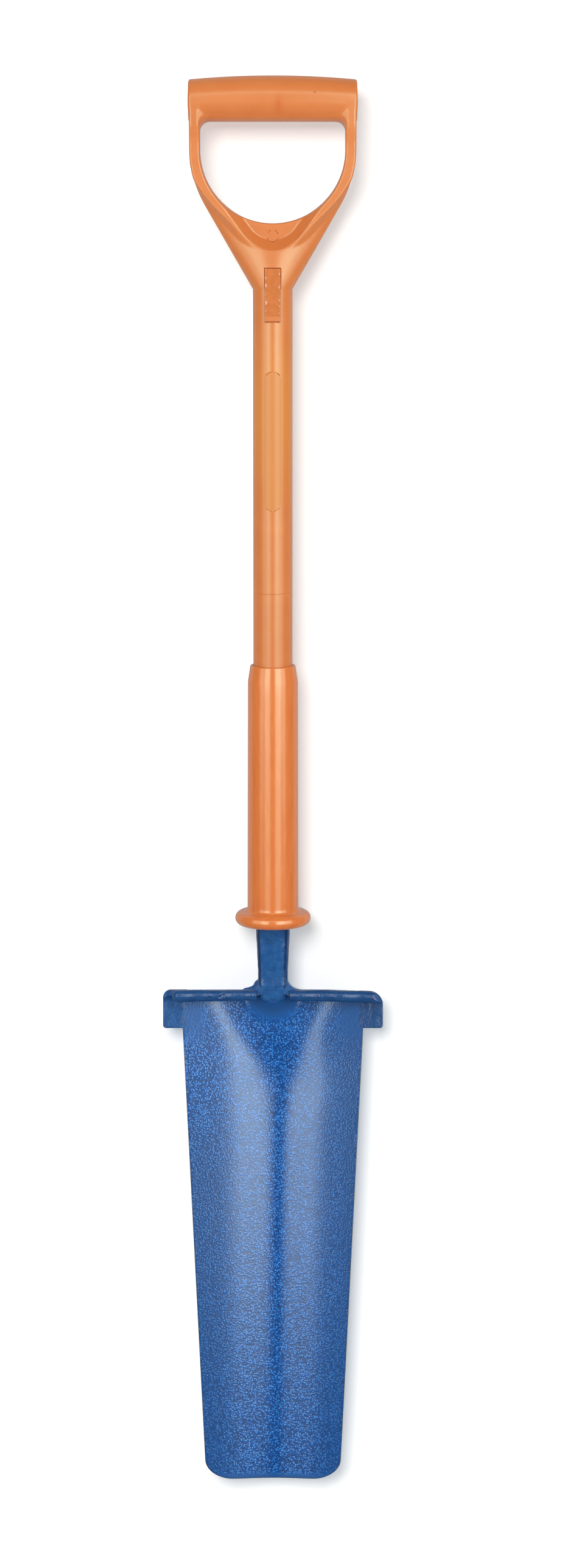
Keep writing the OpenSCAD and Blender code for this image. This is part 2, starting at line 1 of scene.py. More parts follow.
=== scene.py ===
# %% [markdown]
# # A trenching spade, dressed for its portrait
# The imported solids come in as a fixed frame. Around them this lesson builds the visible skins,
# paints them, and sets up the studio. All shapes are worked out in millimetres and turned to
# metres in one place, so that the numbers read like a workshop drawing.

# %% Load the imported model
import json
import math

import bpy
import numpy as np
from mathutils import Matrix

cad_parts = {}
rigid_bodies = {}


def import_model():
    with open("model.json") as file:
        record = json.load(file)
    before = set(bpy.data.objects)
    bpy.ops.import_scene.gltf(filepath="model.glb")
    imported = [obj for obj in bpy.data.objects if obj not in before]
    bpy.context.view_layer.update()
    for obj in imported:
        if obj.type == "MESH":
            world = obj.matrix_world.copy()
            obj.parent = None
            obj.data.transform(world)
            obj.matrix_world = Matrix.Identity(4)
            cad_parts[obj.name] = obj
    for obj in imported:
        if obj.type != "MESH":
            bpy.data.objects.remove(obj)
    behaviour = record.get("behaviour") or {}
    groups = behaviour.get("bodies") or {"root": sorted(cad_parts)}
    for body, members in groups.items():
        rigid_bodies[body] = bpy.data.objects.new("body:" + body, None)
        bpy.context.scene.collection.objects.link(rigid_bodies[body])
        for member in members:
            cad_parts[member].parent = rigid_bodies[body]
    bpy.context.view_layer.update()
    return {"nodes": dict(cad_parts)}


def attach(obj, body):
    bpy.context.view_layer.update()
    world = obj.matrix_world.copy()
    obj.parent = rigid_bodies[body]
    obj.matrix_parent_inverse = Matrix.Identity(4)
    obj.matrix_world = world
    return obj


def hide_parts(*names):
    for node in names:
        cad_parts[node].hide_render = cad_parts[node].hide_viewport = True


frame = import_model()
nodes = frame["nodes"]
scene = bpy.context.scene
MM = 0.001

# %% [markdown]
# ## Camera
# The photograph was taken square on to the blade with a long lens, so the shaft, which leans 10
# degrees towards the viewer, hardly grows towards the grip. Its scale is 1.978 pixels a millimetre
# at the blade. A level camera with no shift gives the same view, and the other views can use it.

# %% Camera
PIXELS_PER_MM = 1.978
FRAME_HEIGHT_PX = 2576
CAMERA_DISTANCE = 3792.0
CAMERA_LEVEL = 576.3
CAMERA_SIDESTEP = 7.9
SENSOR = 36.0
lens_data = bpy.data.cameras.new("portrait_lens")
lens_data.sensor_width = SENSOR
lens_data.lens = SENSOR * CAMERA_DISTANCE / (FRAME_HEIGHT_PX / PIXELS_PER_MM)
camera = bpy.data.objects.new("portrait_camera", lens_data)
camera.location = (CAMERA_SIDESTEP * MM, -CAMERA_DISTANCE * MM, CAMERA_LEVEL * MM)
camera.rotation_euler = (math.radians(90), 0, 0)
scene.collection.objects.link(camera)
scene.camera = camera
scene.view_settings.view_transform = "Standard"
print("lens", round(lens_data.lens, 1), "mm")

# %% [markdown]
# ## Two helpers for surfaces
# One function turns a designer's sRGB hex into the linear colour that shaders use, and one adds a
# node to a tree with its settings, its links and, for a colour ramp, its stops. Every finish below
# is written with these two.

# %% Helpers for finishes
def linear(hex_colour):
    parts = [int(hex_colour[i:i + 2], 16) / 255 for i in (1, 3, 5)]
    return tuple(p / 12.92 if p <= 0.04045 else ((p + 0.055) / 1.055) ** 2.4 for p in parts) + (1.0,)


def add_node(tree, kind, links=None, stops=(), **settings):
    made = tree.nodes.new(kind)
    for name, value in settings.items():
        setattr(made, name, value)
    for socket, value in (links or {}).items():
        if isinstance(value, bpy.types.NodeSocket):
            tree.links.new(value, made.inputs[socket])
        else:
            made.inputs[socket].default_value = value
    for _ in stops[2:]:
        made.color_ramp.elements.new(0.5)
    for number, (position, tone) in enumerate(stops):
        stop = made.color_ramp.elements[number]
        stop.position, stop.color = position, linear(tone)
    return made


# %% [markdown]
# ## Shared sizes
# The sizes that the solids were drawn from, in millimetres. The shaft has its own axes: s runs up
# the shaft from the level of the treads, and v runs from front to back. The shaft leans 10 degrees.

# %% Shared sizes
BLADE_LENGTH = 401.0
TREAD_TOP = 406.0
TREAD_HALF = 91.2
SETBACK = 6.5
AXIS_SETBACK = -5.515
NECK_RADIUS = 12.35
SHAFT_RADIUS = 16.0
LEAN = math.radians(10)


def ease(q):
    q = np.clip(q, 0.0, 1.0)
    return q * q * (3 - 2 * q)


def from_shaft(points):
    x, v, s = np.asarray(points, float).T
    return np.stack([x, AXIS_SETBACK + v * math.cos(LEAN) - s * math.sin(LEAN),
                     TREAD_TOP + v * math.sin(LEAN) + s * math.cos(LEAN)], axis=1)


def to_shaft(x, y, z):
    up, out = z - TREAD_TOP, y - AXIS_SETBACK
    return x, out * math.cos(LEAN) + up * math.sin(LEAN), up * math.cos(LEAN) - out * math.sin(LEAN)


print("blade", BLADE_LENGTH, "mm long, shaft leans", round(math.degrees(LEAN), 1), "degrees")

# %% [markdown]
# ## Turning numbers into pieces
# One function makes a smooth shaded mesh, hides the solid it stands for, and lets it ride on the
# tool's only body. Vertex masks, such as how near a point lies to a cut edge, go in as attributes
# that the finishes can read. Where the exact direction of the surface is known it goes in too, so
# that small radii shine cleanly.

# %% Add a piece
def add_piece(name, points, faces, stands_for, masks=None, facing=None):
    points = np.asarray(points, np.float32) * MM
    faces = np.asarray(faces, np.int32)
    mesh = bpy.data.meshes.new(name)
    mesh.vertices.add(len(points))
    mesh.vertices.foreach_set("co", points.ravel())
    mesh.loops.add(faces.size)
    mesh.loops.foreach_set("vertex_index", faces.ravel())
    mesh.polygons.add(len(faces))
    mesh.polygons.foreach_set("loop_start", np.arange(len(faces), dtype=np.int32) * faces.shape[1])
    mesh.update(calc_edges=True)
    mesh.polygons.foreach_set("use_smooth", np.ones(len(faces), bool))
    for mask, values in (masks or {}).items():
        layer = mesh.attributes.new(mask, "FLOAT", "POINT")
        layer.data.foreach_set("value", np.asarray(values, np.float32))
    if facing is not None:
        mesh.normals_split_custom_set_from_vertices(facing)
    piece = bpy.data.objects.new(name, mesh)
    scene.collection.objects.link(piece)
    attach(piece, "root")
    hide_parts(*stands_for)
    print(name, len(points), "points,", len(faces), "faces")
    return piece


# %% [markdown]
# ## Rounded forms from distances
# Forged and moulded pieces have no sharp corners: every edge and every inside corner is rounded. A
# neat way to get that is to describe a piece by the distance from its surface, negative inside. Two
# distances can then be joined or cut with a fillet of any radius. The skin is laid over a grid, one
# point in each cell that the surface crosses, and each point then slides onto the exact surface.

# %% Joining and cutting with fillets
def joined(a, b, fillet):
    fa, fb = np.maximum(fillet - a, 0), np.maximum(fillet - b, 0)
    return np.maximum(fillet, np.minimum(a, b)) - np.hypot(fa, fb)


def common(a, b, rounding):
    return -joined(-a, -b, rounding)


def steps(*stops):
    parts = [np.arange(a, b - gap / 2, gap) for a, b, gap in stops]
    return np.concatenate(parts + [[stops[-1][1]]])


# %% Laying a skin over a grid
def slide_on(field, points, reach, rounds=5):
    nudge = 0.02
    for _ in range(rounds):
        level = field(*points.T)
        slope = np.empty_like(points)
        for axis in range(3):
            ahead, back = points.copy(), points.copy()
            ahead[:, axis] += nudge
            back[:, axis] -= nudge
            slope[:, axis] = (field(*ahead.T) - field(*back.T)) / (2 * nudge)
        move = slope * (level / np.maximum((slope ** 2).sum(axis=1), 0.05))[:, None]
        far = np.linalg.norm(move, axis=1)
        points = points - move * np.minimum(1, reach / np.maximum(far, 1e-9))[:, None]
    return points, slope / np.maximum(np.linalg.norm(slope, axis=1), 1e-9)[:, None]


def skin(field, xs, ys, zs, reach=0.5):
    axes = (xs, ys, zs)
    level = field(*np.meshgrid(xs, ys, zs, indexing="ij"))
    solid = level < 0
    corners = [(i, j, k) for i in (0, 1) for j in (0, 1) for k in (0, 1)]
    nx, ny, nz = (len(axis) - 1 for axis in axes)
    filled = sum(solid[i:i + nx, j:j + ny, k:k + nz].astype(np.int8) for i, j, k in corners)
    crossed = (filled > 0) & (filled < 8)
    cells = np.argwhere(crossed)
    number = np.full(crossed.shape, -1, np.int64)
    number[crossed] = np.arange(len(cells))
    total, hits = np.zeros((len(cells), 3)), np.zeros(len(cells))
    for a in corners:
        for axis in range(3):
            if a[axis]:
                continue
            b = tuple(v + (n == axis) for n, v in enumerate(a))
            ia, ib = cells + a, cells + b
            la, lb = level[tuple(ia.T)], level[tuple(ib.T)]
            cut = (la < 0) != (lb < 0)
            share = np.where(cut, la / np.where(cut, la - lb, 1), 0)
            start = np.stack([axes[n][ia[:, n]] for n in range(3)], axis=1)
            end = np.stack([axes[n][ib[:, n]] for n in range(3)], axis=1)
            total += np.where(cut[:, None], start + (end - start) * share[:, None], 0)
            hits += cut
    points, facing = slide_on(field, total / hits[:, None], reach)
    faces = []
    for axis in range(3):
        u, w = (axis + 1) % 3, (axis + 2) % 3
        low = np.take(solid, range(solid.shape[axis] - 1), axis)
        high = np.take(solid, range(1, solid.shape[axis]), axis)
        edges = np.argwhere(low != high)
        inner = (edges[:, u] > 0) & (edges[:, w] > 0)
        inner &= (edges[:, u] < solid.shape[u] - 1) & (edges[:, w] < solid.shape[w] - 1)
        edges = edges[inner]
        ring = []
        for du, dw in ((1, 1), (0, 1), (0, 0), (1, 0)):
            cell = edges.copy()
            cell[:, u] -= du
            cell[:, w] -= dw
            ring.append(number[tuple(cell.T)])
        quads = np.stack(ring, axis=1)
        outward = low[tuple(edges.T)]
        faces.append(np.where(outward[:, None], quads, quads[:, ::-1]))
    return points, np.concatenate(faces), facing


# %% Turning a profile on the shaft's axis
def ring_faces(count, around, closed=False):
    rows, step = np.meshgrid(np.arange(count - (not closed)), np.arange(around), indexing="ij")
    after, above = (step + 1) % around, (rows + 1) % count
    return np.stack([rows * around + step, rows * around + after,
                     above * around + after, above * around + step], axis=2).reshape(-1, 4)


def turned(profile, around):
    radius, level = np.asarray(profile, float).T
    turn = 2 * math.pi * np.arange(around) / around
    points = np.stack([np.outer(radius, np.sin(turn)), np.outer(radius, -np.cos(turn)),
                       np.repeat(level[:, None], around, axis=1)], axis=2).reshape(-1, 3)
    return points, ring_faces(len(profile), around, closed=True)


def arc(centre, radius, start, end, count=8):
    angles = np.radians(np.linspace(start, end, count + 1))
    return [(centre[0] + radius * math.cos(a), centre[1] + radius * math.sin(a)) for a in angles]


# %% [markdown]
# ## Blade
# The blade is a steel plate pressed into a trough: wide and flat bottomed near the treads, narrowing
# to a V further down, with flatter sides. The width of the trough's flat bottom and the place of its
# middle were read off the photo at eleven levels, and a running average makes them flow. A plain grid
# in the plate's outline follows that shape well: each point gets its depth from one formula, front
# and back, and the rim is a ring of narrow strips that round the cut edge. The bottom corners are a
# little longer than they are high.

# %% Trough of the blade
SHOULDER_HALF, TIP_HALF = 76.3, 55.4
TROUGH_LEVELS = [0, 76, 190, 292, 317, 337, 352, 368, 378, 390, 401]
TROUGH_MIDDLE = [0.8, 2.0, 3.2, 4.6, 6.0, 6.4, 3.8, -0.6, -2.0, -2.6, -3.0]
TROUGH_HALF = [7.0, 7.0, 7.2, 8.0, 10.5, 13.5, 20.0, 28.5, 34.0, 40.0, 45.0]
AVERAGE_REACH, AVERAGE_SPREAD = 24, 8.0
WIDENING_START, WIDENING_RUN = 320, 65


def blade_half(z):
    return TIP_HALF + (SHOULDER_HALF - TIP_HALF) * z / BLADE_LENGTH


fine_levels = np.arange(-60.0, 461.0)
average = np.exp(-0.5 * (np.arange(-AVERAGE_REACH, AVERAGE_REACH + 1) / AVERAGE_SPREAD) ** 2)
middle_table, half_table = (
    np.convolve(np.interp(fine_levels, TROUGH_LEVELS, row), average / average.sum(), "same")
    for row in (TROUGH_MIDDLE, TROUGH_HALF))


def plate_middle(x, z):
    half, flat = blade_half(z), np.interp(z, fine_levels, half_table)
    widening = ease((z - WIDENING_START) / WIDENING_RUN)
    # the flank is steepest at its crest and eases off over its spread
    crest, spread = flat + 13.0 - 8.5 * widening, 12.0 - 6.5 * widening
    steep, flank = 0.165 - 0.085 * widening, 0.090 + 0.008 * widening
    out = np.abs(x - np.interp(z, fine_levels, middle_table) * (1 - np.clip(np.abs(x) / half, 0, 1)))

    def drop(gap):
        bend = np.tanh((gap - crest) / spread) - np.tanh((gap + crest) / spread)
        bend = bend + 2 * np.tanh(crest / spread)
        return flank * (np.sqrt(gap ** 2 + flat ** 2) - flat) + steep * spread * bend

    return np.maximum(drop(half) - drop(out), 0) - SETBACK


for level in (0.0, 100.0, 200.0, 300.0, 360.0, 400.0):
    print("level", level, "hollow", round(float(plate_middle(np.array(3.0), level)) + SETBACK, 2), "mm")

# %% [markdown]
# Under the neck's nose the plate rises to it in a hollow fillet, steep at the nose and running out
# to nothing. On the back a low boss backs the neck up. The plate gets thicker towards the treads.

# %% Front and back of the plate
TIP_PLATE_HALF, TOP_PLATE_HALF = 1.2, 2.1
FILLET_REACH, FILLET_POWER, NOSE_LEVEL, NOSE_HALF = 20.0, 2.4, 404.5, 8.5
SCOOP_FRONT = -15.2
BOSS_BACK, BOSS_LOW, BOSS_HIGH, BOSS_SPREAD = 6.8, 365.0, 396.7, 2.5


def plate_half(z):
    return TIP_PLATE_HALF + (TOP_PLATE_HALF - TIP_PLATE_HALF) * z / BLADE_LENGTH


def nose_gap(x, z):
    return np.hypot(x, np.maximum(NOSE_LEVEL - z, 0)) - NOSE_HALF


def blade_front(x, z):
    face = plate_middle(x, z) - plate_half(z)
    hollow = (1 - np.clip(nose_gap(x, z) / FILLET_REACH, 0, 1)) ** FILLET_POWER
    return face + np.minimum(0, SCOOP_FRONT - face) * hollow


def blade_back(x, z):
    face = plate_middle(x, z) + plate_half(z)
    lift = np.maximum(0, BOSS_BACK - (plate_middle(0.0 * x, z) + TOP_PLATE_HALF))
    rise = ease((z - BOSS_LOW) / (BOSS_HIGH - BOSS_LOW))
    away = np.clip(np.abs(x) / (NECK_RADIUS * (BOSS_SPREAD - rise)), 0, 1)
    return face + lift * rise * ((1 + np.cos(np.pi * away)) / 2) ** 0.7


print("plate", 2 * TIP_PLATE_HALF, "mm thick at the tip,", 2 * TOP_PLATE_HALF, "mm at the treads")

# %% Outline of the plate
CORNER_WIDE, CORNER_HIGH = 22.5, 16.0
RIM = 0.6
columns = np.concatenate([np.linspace(-1, -0.94, 6), np.linspace(-0.925, 0.925, 123),
                          np.linspace(0.94, 1, 6)])
corner_turn = np.linspace(0, math.pi / 2, 15)
straight = np.concatenate([np.linspace(0, 0.86, 92)[1:], np.linspace(0.86, 1, 40)[1:]])


def plate_outline(inset):
    wide, high = CORNER_WIDE - inset, CORNER_HIGH - inset
    levels = inset + high * (1 - np.cos(corner_turn))
    top = BLADE_LENGTH - inset
    z = np.concatenate([levels, levels[-1] + (top - levels[-1]) * straight])
    pull = np.concatenate([wide * (1 - np.sin(corner_turn)), np.zeros(len(straight))])
    half = blade_half(z) - inset - pull
    return np.outer(half, columns), np.repeat(z[:, None], len(columns), axis=1)


def boundary(grid):
    return np.concatenate([grid[0, :-1], grid[:-1, -1], grid[-1, :0:-1], grid[:0:-1, 0]])


def grid_quads(index):
    return np.stack([index[:-1, :-1], index[:-1, 1:], index[1:, 1:], index[1:, :-1]], axis=2).reshape(-1, 4)


# %% [markdown]
# The rim's strips turn through half a circle. The first three rings belong to the front face and the
# last three to the back, so there are two rings in the middle of the edge.

# %% Blade mesh
RIM_TURNS = (30, 60, 90, 90, 120, 150)
face_x, face_z = plate_outline(RIM)
index = np.arange(face_x.size).reshape(face_x.shape)
quads = grid_quads(index)
blade_points = [np.stack([face_x, side(face_x, face_z), face_z], axis=2).reshape(-1, 3)
                for side in (blade_front, blade_back)]
blade_faces = [quads, quads[:, ::-1] + face_x.size]
rings = [boundary(index)]
count = 2 * face_x.size
for number, turn in enumerate(np.radians(RIM_TURNS)):
    ring_x, ring_z = (boundary(grid) for grid in plate_outline(RIM * (1 - math.sin(turn))))
    sink = RIM * (1 - abs(math.cos(turn)))
    level = blade_front(ring_x, ring_z) + sink if number < 3 else blade_back(ring_x, ring_z) - sink
    blade_points.append(np.stack([ring_x, level, ring_z], axis=1))
    rings.append(count + np.arange(len(ring_x)))
    count += len(ring_x)
rings.append(boundary(index) + face_x.size)
for low, high in zip(rings[:-1], rings[1:]):
    blade_faces.append(np.stack([low, high, np.roll(high, -1), np.roll(low, -1)], axis=1))
blade_points = np.concatenate(blade_points)
blade_faces = np.concatenate(blade_faces)
print("blade grid", face_x.shape, "with", len(RIM_TURNS), "rings on its rim")

# %% [markdown]
# Three masks tell the finish where it changes: the cut edges that have lost their paint, the part of
# the plate where the paint pulled together into hammer cells, and the sides, which are painted darker
# as shade.

# %% Blade masks and piece
BARE_BAND = 1.2
bx, bz = blade_points[:, 0], blade_points[:, 2]
side_gap = blade_half(bz) - np.abs(bx)
corner_x = np.clip((CORNER_WIDE - side_gap) / CORNER_WIDE, 0, 1)
corner_z = np.clip((CORNER_HIGH - bz) / CORNER_HIGH, 0, 1)
corner_gap = np.where((corner_x > 0) & (corner_z > 0), CORNER_HIGH * (1 - np.hypot(corner_x, corner_z)), 99)
edge_gap = np.minimum(np.minimum(side_gap, bz), corner_gap)
on_rim = np.arange(len(blade_points)) >= 2 * face_x.size
bare_edge = np.where(on_rim, 1.0, np.clip(1 - edge_gap / BARE_BAND, 0, 1)) * (bz < 399)
hammered = ease((nose_gap(bx, bz) - 7) / 16) * ease((bz - 1.0) / 5.0)
hammered *= 1 - 0.75 * ease((np.abs(bx) - 46) / 18) * ease((bz - 352) / 25)
# painted shade: the right side, and the lower part of the left side, are painted a darker blue
right_shade = 0.55 + 0.35 * ease((bx - 52) / 12)
left_shade = 0.6 * (1 - ease((bz - 240) / 100))
painted_shade = ease((np.abs(bx) - 22) / 28) * np.where(bx > 0, right_shade, left_shade)
blade = add_piece("pressed_blade", blade_points, blade_faces, ["blade"],
                  {"bare_edge": bare_edge, "hammered": hammered, "painted_shade": painted_shade})

# %% [markdown]
# ## Neck and socket
# The neck is forged: flat in front with round corners near the blade, rounder towards the sleeve,
# where it opens into the socket for the rod. At its foot it ends in a blunt nose on the blade. Rings
# of points along the shaft's axis give that change of section directly, where a turned profile could
# only be round. A faint step runs around it where the forging meets the blade.

# %% Neck section
NECK_END, NECK_NOSE = -13.0, -3.4
NECK_PARALLEL, TAPER_END, SOCKET_END = 18.0, 89.0, 200.0
SOCKET_BORE, BORE_START, BORE_POINT = 11.3, 98.0, 5.65
STEP_LEVEL, STEP_RUN, STEP_DEPTH = 4.6, 0.8, 0.25
ROUND, SQUARE, SQUARE_LOSS = 2.0, 6.0, 2.6
FRONT_FLAT = 0.07
AROUND = 168


def neck_radius(s):
    taper = np.clip((s - NECK_PARALLEL) / (TAPER_END - NECK_PARALLEL), 0, 1)
    grown = NECK_RADIUS + (SHAFT_RADIUS - NECK_RADIUS) * taper
    grown = grown - STEP_DEPTH * (1 - ease((s - STEP_LEVEL) / STEP_RUN))
    nose = np.clip((NECK_NOSE - s) / (NECK_NOSE - NECK_END), 0, 1)
    return grown * np.sqrt(1 - 0.999 * nose ** 2)


def neck_reach(turn, s):
    squareness = SQUARE - SQUARE_LOSS * ease((s - 14) / 36) - ROUND
    front_power = ROUND + squareness * ease((s + 12) / 14) * (1 - ease((s - 60) / 14))
    ahead = np.cos(turn)
    power = np.where(ahead > 0, front_power, ROUND)
    flattened = 1 - FRONT_FLAT * ease((s - 2) / 12) * (1 - ease((s - 56) / 18))
    sunk = np.where(ahead > 0, flattened, 1.0)
    return neck_radius(s) * (np.abs(np.sin(turn)) ** power + np.abs(ahead / sunk) ** power) ** (-1 / power)


print("neck radius", [round(float(neck_radius(s)), 2) for s in (0.0, NECK_PARALLEL, TAPER_END)], "mm")

# %% Neck mesh
neck_turns = 2 * math.pi * np.arange(AROUND) / AROUND
nose_levels = NECK_END + (NECK_NOSE - NECK_END) * (1 - np.cos(np.linspace(0.0, math.pi / 2, 16)))
neck_levels = np.concatenate([nose_levels, steps(
    (-2.7, 4.4, 0.71), (4.4, 5.6, 0.3), (5.6, 60.0, 0.75), (60.0, 96.0, 3.0), (96.0, SOCKET_END, 13.0))])
turn_grid, level_grid = np.meshgrid(neck_turns, neck_levels)
reach = neck_reach(turn_grid, level_grid)
forged = ease((level_grid - 6) / 8) * (1 - ease((level_grid - 50) / 10))
reach += forged * (0.07 * np.sin(turn_grid * 5 + level_grid * 0.31)
                   + 0.05 * np.sin(turn_grid * 8 - level_grid * 0.47 + 1.3))
bore = [(SOCKET_BORE, SOCKET_END), (SOCKET_BORE, BORE_START), (0.1, BORE_START - BORE_POINT)]
for bore_radius, level in bore:
    reach = np.vstack([reach, np.full(AROUND, bore_radius)])
    level_grid = np.vstack([level_grid, np.full(AROUND, level)])
neck_local = np.stack([reach * np.sin(neck_turns), -reach * np.cos(neck_turns), level_grid], axis=2)
neck_local = neck_local.reshape(-1, 3)
print("neck has", len(reach), "rings")

# %% [markdown]
# The neck carries a few old scratches that go through the paint to the steel. They are short strokes,
# so each one is a line on the neck's front, and the points close to it get a mask. A second mask
# marks the strips along both sides, which are painted dark as shade.

# %% Scratches and piece
SCRATCHES = [((-4.6, 44.6), (-1.4, 43.4)), ((-1.6, 43.2), (0.6, 41.8)),
             ((-5.2, 42.0), (-2.8, 41.2)), ((-12.6, 33.8), (-10.4, 30.6))]
SCRATCH_WIDTH = 0.55


def near_line(x, s, start, end):
    along = np.subtract(end, start)
    share = np.clip(((x - start[0]) * along[0] + (s - start[1]) * along[1]) / (along @ along), 0, 1)
    return np.hypot(x - start[0] - along[0] * share, s - start[1] - along[1] * share)


nx, nv, ns = neck_local.T
scratch = np.min([near_line(nx, ns, *line) for line in SCRATCHES], axis=0)
scratched = np.where(nv < 0, np.clip(1.4 - scratch / SCRATCH_WIDTH, 0, 1), 0)
# painted shade: dark strips down both sides of the neck
share = nx / neck_radius(ns)
left_strip = ease((-share - 0.76) / 0.08)
right_strip = ease((share - 0.66) / 0.08) * (1 - 0.7 * np.exp(-((share - 0.9) / 0.05) ** 2))
painted_shade = np.where((nv < 6) & (ns > 3), np.maximum(left_strip, right_strip), 0)
add_piece("forged_neck", from_shaft(neck_local), ring_faces(len(reach), AROUND), ["socket"],
          {"bare_edge": scratched, "painted_shade": painted_shade})

# %% [markdown]
# ## Treads
# Each tread is a bent plate: a foot ledge with a rolled lip in front, and an ear that comes down
# beside the blade and is ground flush with it. The lips wave a little and were closed with hammer
# blows, which left dents. The left lip swells outwards and runs out softly into its ear, which shows
# a seam. The right one ends in a slanted facet and its ledge droops a little. All that is easy to say
# with distances, so the treads are laid as skins.

# %% Tread sizes
LIP_FRONT, LIP_RADIUS = -17.7, 4.75
LIP_WAVE, WAVE_PER_MM, WAVE_START = 0.8, 0.19, {-1: 2.4, 1: 0.3}
SOFT_END = 78.5
FACET_POINT, FACET_SLOPES = (82.6, -22.4, 401.2), (0.47, -0.84, 0.27)
LEDGE_LEVEL, LEDGE_HALF = 403.5, 2.5
LEDGE_CUT = {-1: (0.80, 85.0, -0.60, -14.0), 1: (0.72, 86.6, -0.69, -12.0)}
TREAD_INNER, EAR_LOW, EAR_LAP = 13.21, 374.0, 4.0
TOP_CORNER = {-1: 6.6, 1: 11.0}
RIGHT_DROOP, DROOP_START = 0.035, 46
DENT_FRONT = -23.4
DENTS = {-1: [(52.6, 398.9, 2.6), (43.6, 400.2, 2.2), (41.0, 401.8, 2.4), (17.5, 402.5, 1.6)],
         1: [(39.6, 402.0, 2.7), (36.2, 401.0, 2.0), (74.0, 402.3, 1.4)]}
SEAM = [(-74.4, 397.2), (-72.4, 392.6), (-74.0, 386.0), (-76.9, 378.6)]
SEAM_FRONT, SEAM_RADIUS = -8.75, 0.42


# %% Tread form
def tread_form(side):
    right = side > 0
    out_slope, cut_out, front_slope, cut_front = LEDGE_CUT[side]

    def form(x, y, z):
        out = side * x
        up = z
        if right:
            up = z + RIGHT_DROOP * np.maximum(out - DROOP_START, 0) * ease((z - 379) / 18)
        radius = LIP_RADIUS * (1.0 if right else 0.92 + 0.14 * np.clip((out - 20) / 60, 0, 1))
        wave = LIP_WAVE * (1 + np.sin(WAVE_PER_MM * out + WAVE_START[side]))
        bar = np.hypot(y - LIP_FRONT - wave, up - (TREAD_TOP - radius)) - radius
        if right:
            facet = sum(slope * (place - at)
                        for slope, place, at in zip(FACET_SLOPES, (out, y, up), FACET_POINT))
            bar = common(bar, facet, 1.0)
        else:
            bar = np.hypot(bar + radius, np.maximum(out - SOFT_END, 0)) - radius
        bar = common(bar, TREAD_INNER + 0.15 - out, 1.1)
        back = blade_back(x, 0 * z + BLADE_LENGTH - 0.4)
        ledge = common(np.abs(up - LEDGE_LEVEL) - LEDGE_HALF, y - back, 1.0)
        ledge = common(ledge, np.maximum(LIP_FRONT - y, TREAD_INNER - out), 0.6)
        ledge = np.maximum(ledge, out_slope * (out - cut_out) + front_slope * (y - cut_front))
        ear = np.maximum(blade_front(x, z) - 0.03 - y, y - blade_back(x, z) - 0.03)
        ear = np.maximum(ear, blade_half(z) - EAR_LAP - out)
        ear = np.maximum(ear, np.abs(y + SETBACK) - 6)
        piece = joined(ledge, bar, 1.5)
        piece = joined(piece, ear, 2.2 if right else 2.2 + 3.0 * ease((out - 76) / 6))
        corner = common(out - TREAD_HALF, up - TREAD_TOP, TOP_CORNER[side])
        piece = common(piece, common(corner, EAR_LOW - z, 2.5), 0.8)
        for dent_out, dent_up, size in DENTS[side]:
            ball = np.sqrt((out - dent_out) ** 2 + (y - DENT_FRONT) ** 2 + (up - dent_up) ** 2) - size
            piece = common(piece, -ball, 0.6)
        if not right:
            for start, end in zip(SEAM[:-1], SEAM[1:]):
                groove = np.hypot(near_line(x, z, start, end), y - SEAM_FRONT) - SEAM_RADIUS
                piece = common(piece, -groove, 0.15)
        return piece
    return form


# %% [markdown]
# The masks show bare steel along the ears' cut edges and a chip at the left ear's corner. The whole
# right tread and the front of the left lip are painted darker, as shade.

# %% Tread pieces
EDGE_BAND, EDGE_FADE, CHIP_SIZE = 0.55, 0.4, 2.2
tread_names = {-1: ("left_foot_tread", "left_tread"), 1: ("right_foot_tread", "right_tread")}
for side, (name, node) in tread_names.items():
    across = np.sort(side * steps((12.2, 70.0, 0.75), (70.0, 92.0, 0.5)))
    points, faces, facing = skin(
        tread_form(side), across, steps((-24.0, -3.0, 0.6), (-3.0, 7.0, 1.0)),
        steps((373.0, 394.0, 0.6), (394.0, 407.0, 0.5)))
    out, ahead, up = side * points[:, 0], points[:, 1], points[:, 2]
    corner_gap = np.hypot(out - TREAD_HALF, up - EAR_LOW)
    chipped = np.clip(1.5 - corner_gap / CHIP_SIZE, 0, 1) * (side < 0)
    rim = np.clip((out - TREAD_HALF + EDGE_BAND) / EDGE_FADE, 0, 1) * (up < 398)
    low = np.clip((EAR_LOW + EDGE_BAND - up) / EDGE_FADE, 0, 1)
    # painted shade: the whole right tread and the front of the left lip are painted darker
    tread_shade = np.full(len(points), 0.45) if side > 0 else 0.4 * ease((-12 - ahead) / 4)
    masks = {"bare_edge": np.maximum(chipped, 0.8 * np.maximum(rim, low)), "painted_shade": tread_shade}
    add_piece(name, points, faces, [node], masks, facing)

# %% [markdown]
# ## Neck welds
# A bead of weld fills the corner between the neck and each tread. The right one was drawn out
# smooth, the left one is lumpy. Each is the fillet that joins the two distances, held a hair under
# the neighbours' skins so that only the bead itself shows.

# %% Neck weld pieces
WELD_FILLET, WELD_SINK = {-1: 9.0, 1: 14.0}, 0.04
WELD_OUT, WELD_DEPTH, WELD_LEVELS = (9.0, 29.0), (-17.2, 5.4), (402.0, 423.0)
WELD_LUMPS = [(-13.4, -9.0, 411.0, 2.2), (-15.4, -11.5, 407.6, 2.2), (-18.6, -9.0, 406.4, 2.0),
              (-22.4, -10.5, 405.6, 1.9)]


def neck_form(x, y, z):
    across, ahead, s = to_shaft(x, y, z)
    return np.hypot(across, ahead) - neck_reach(np.arctan2(across, -ahead), s)


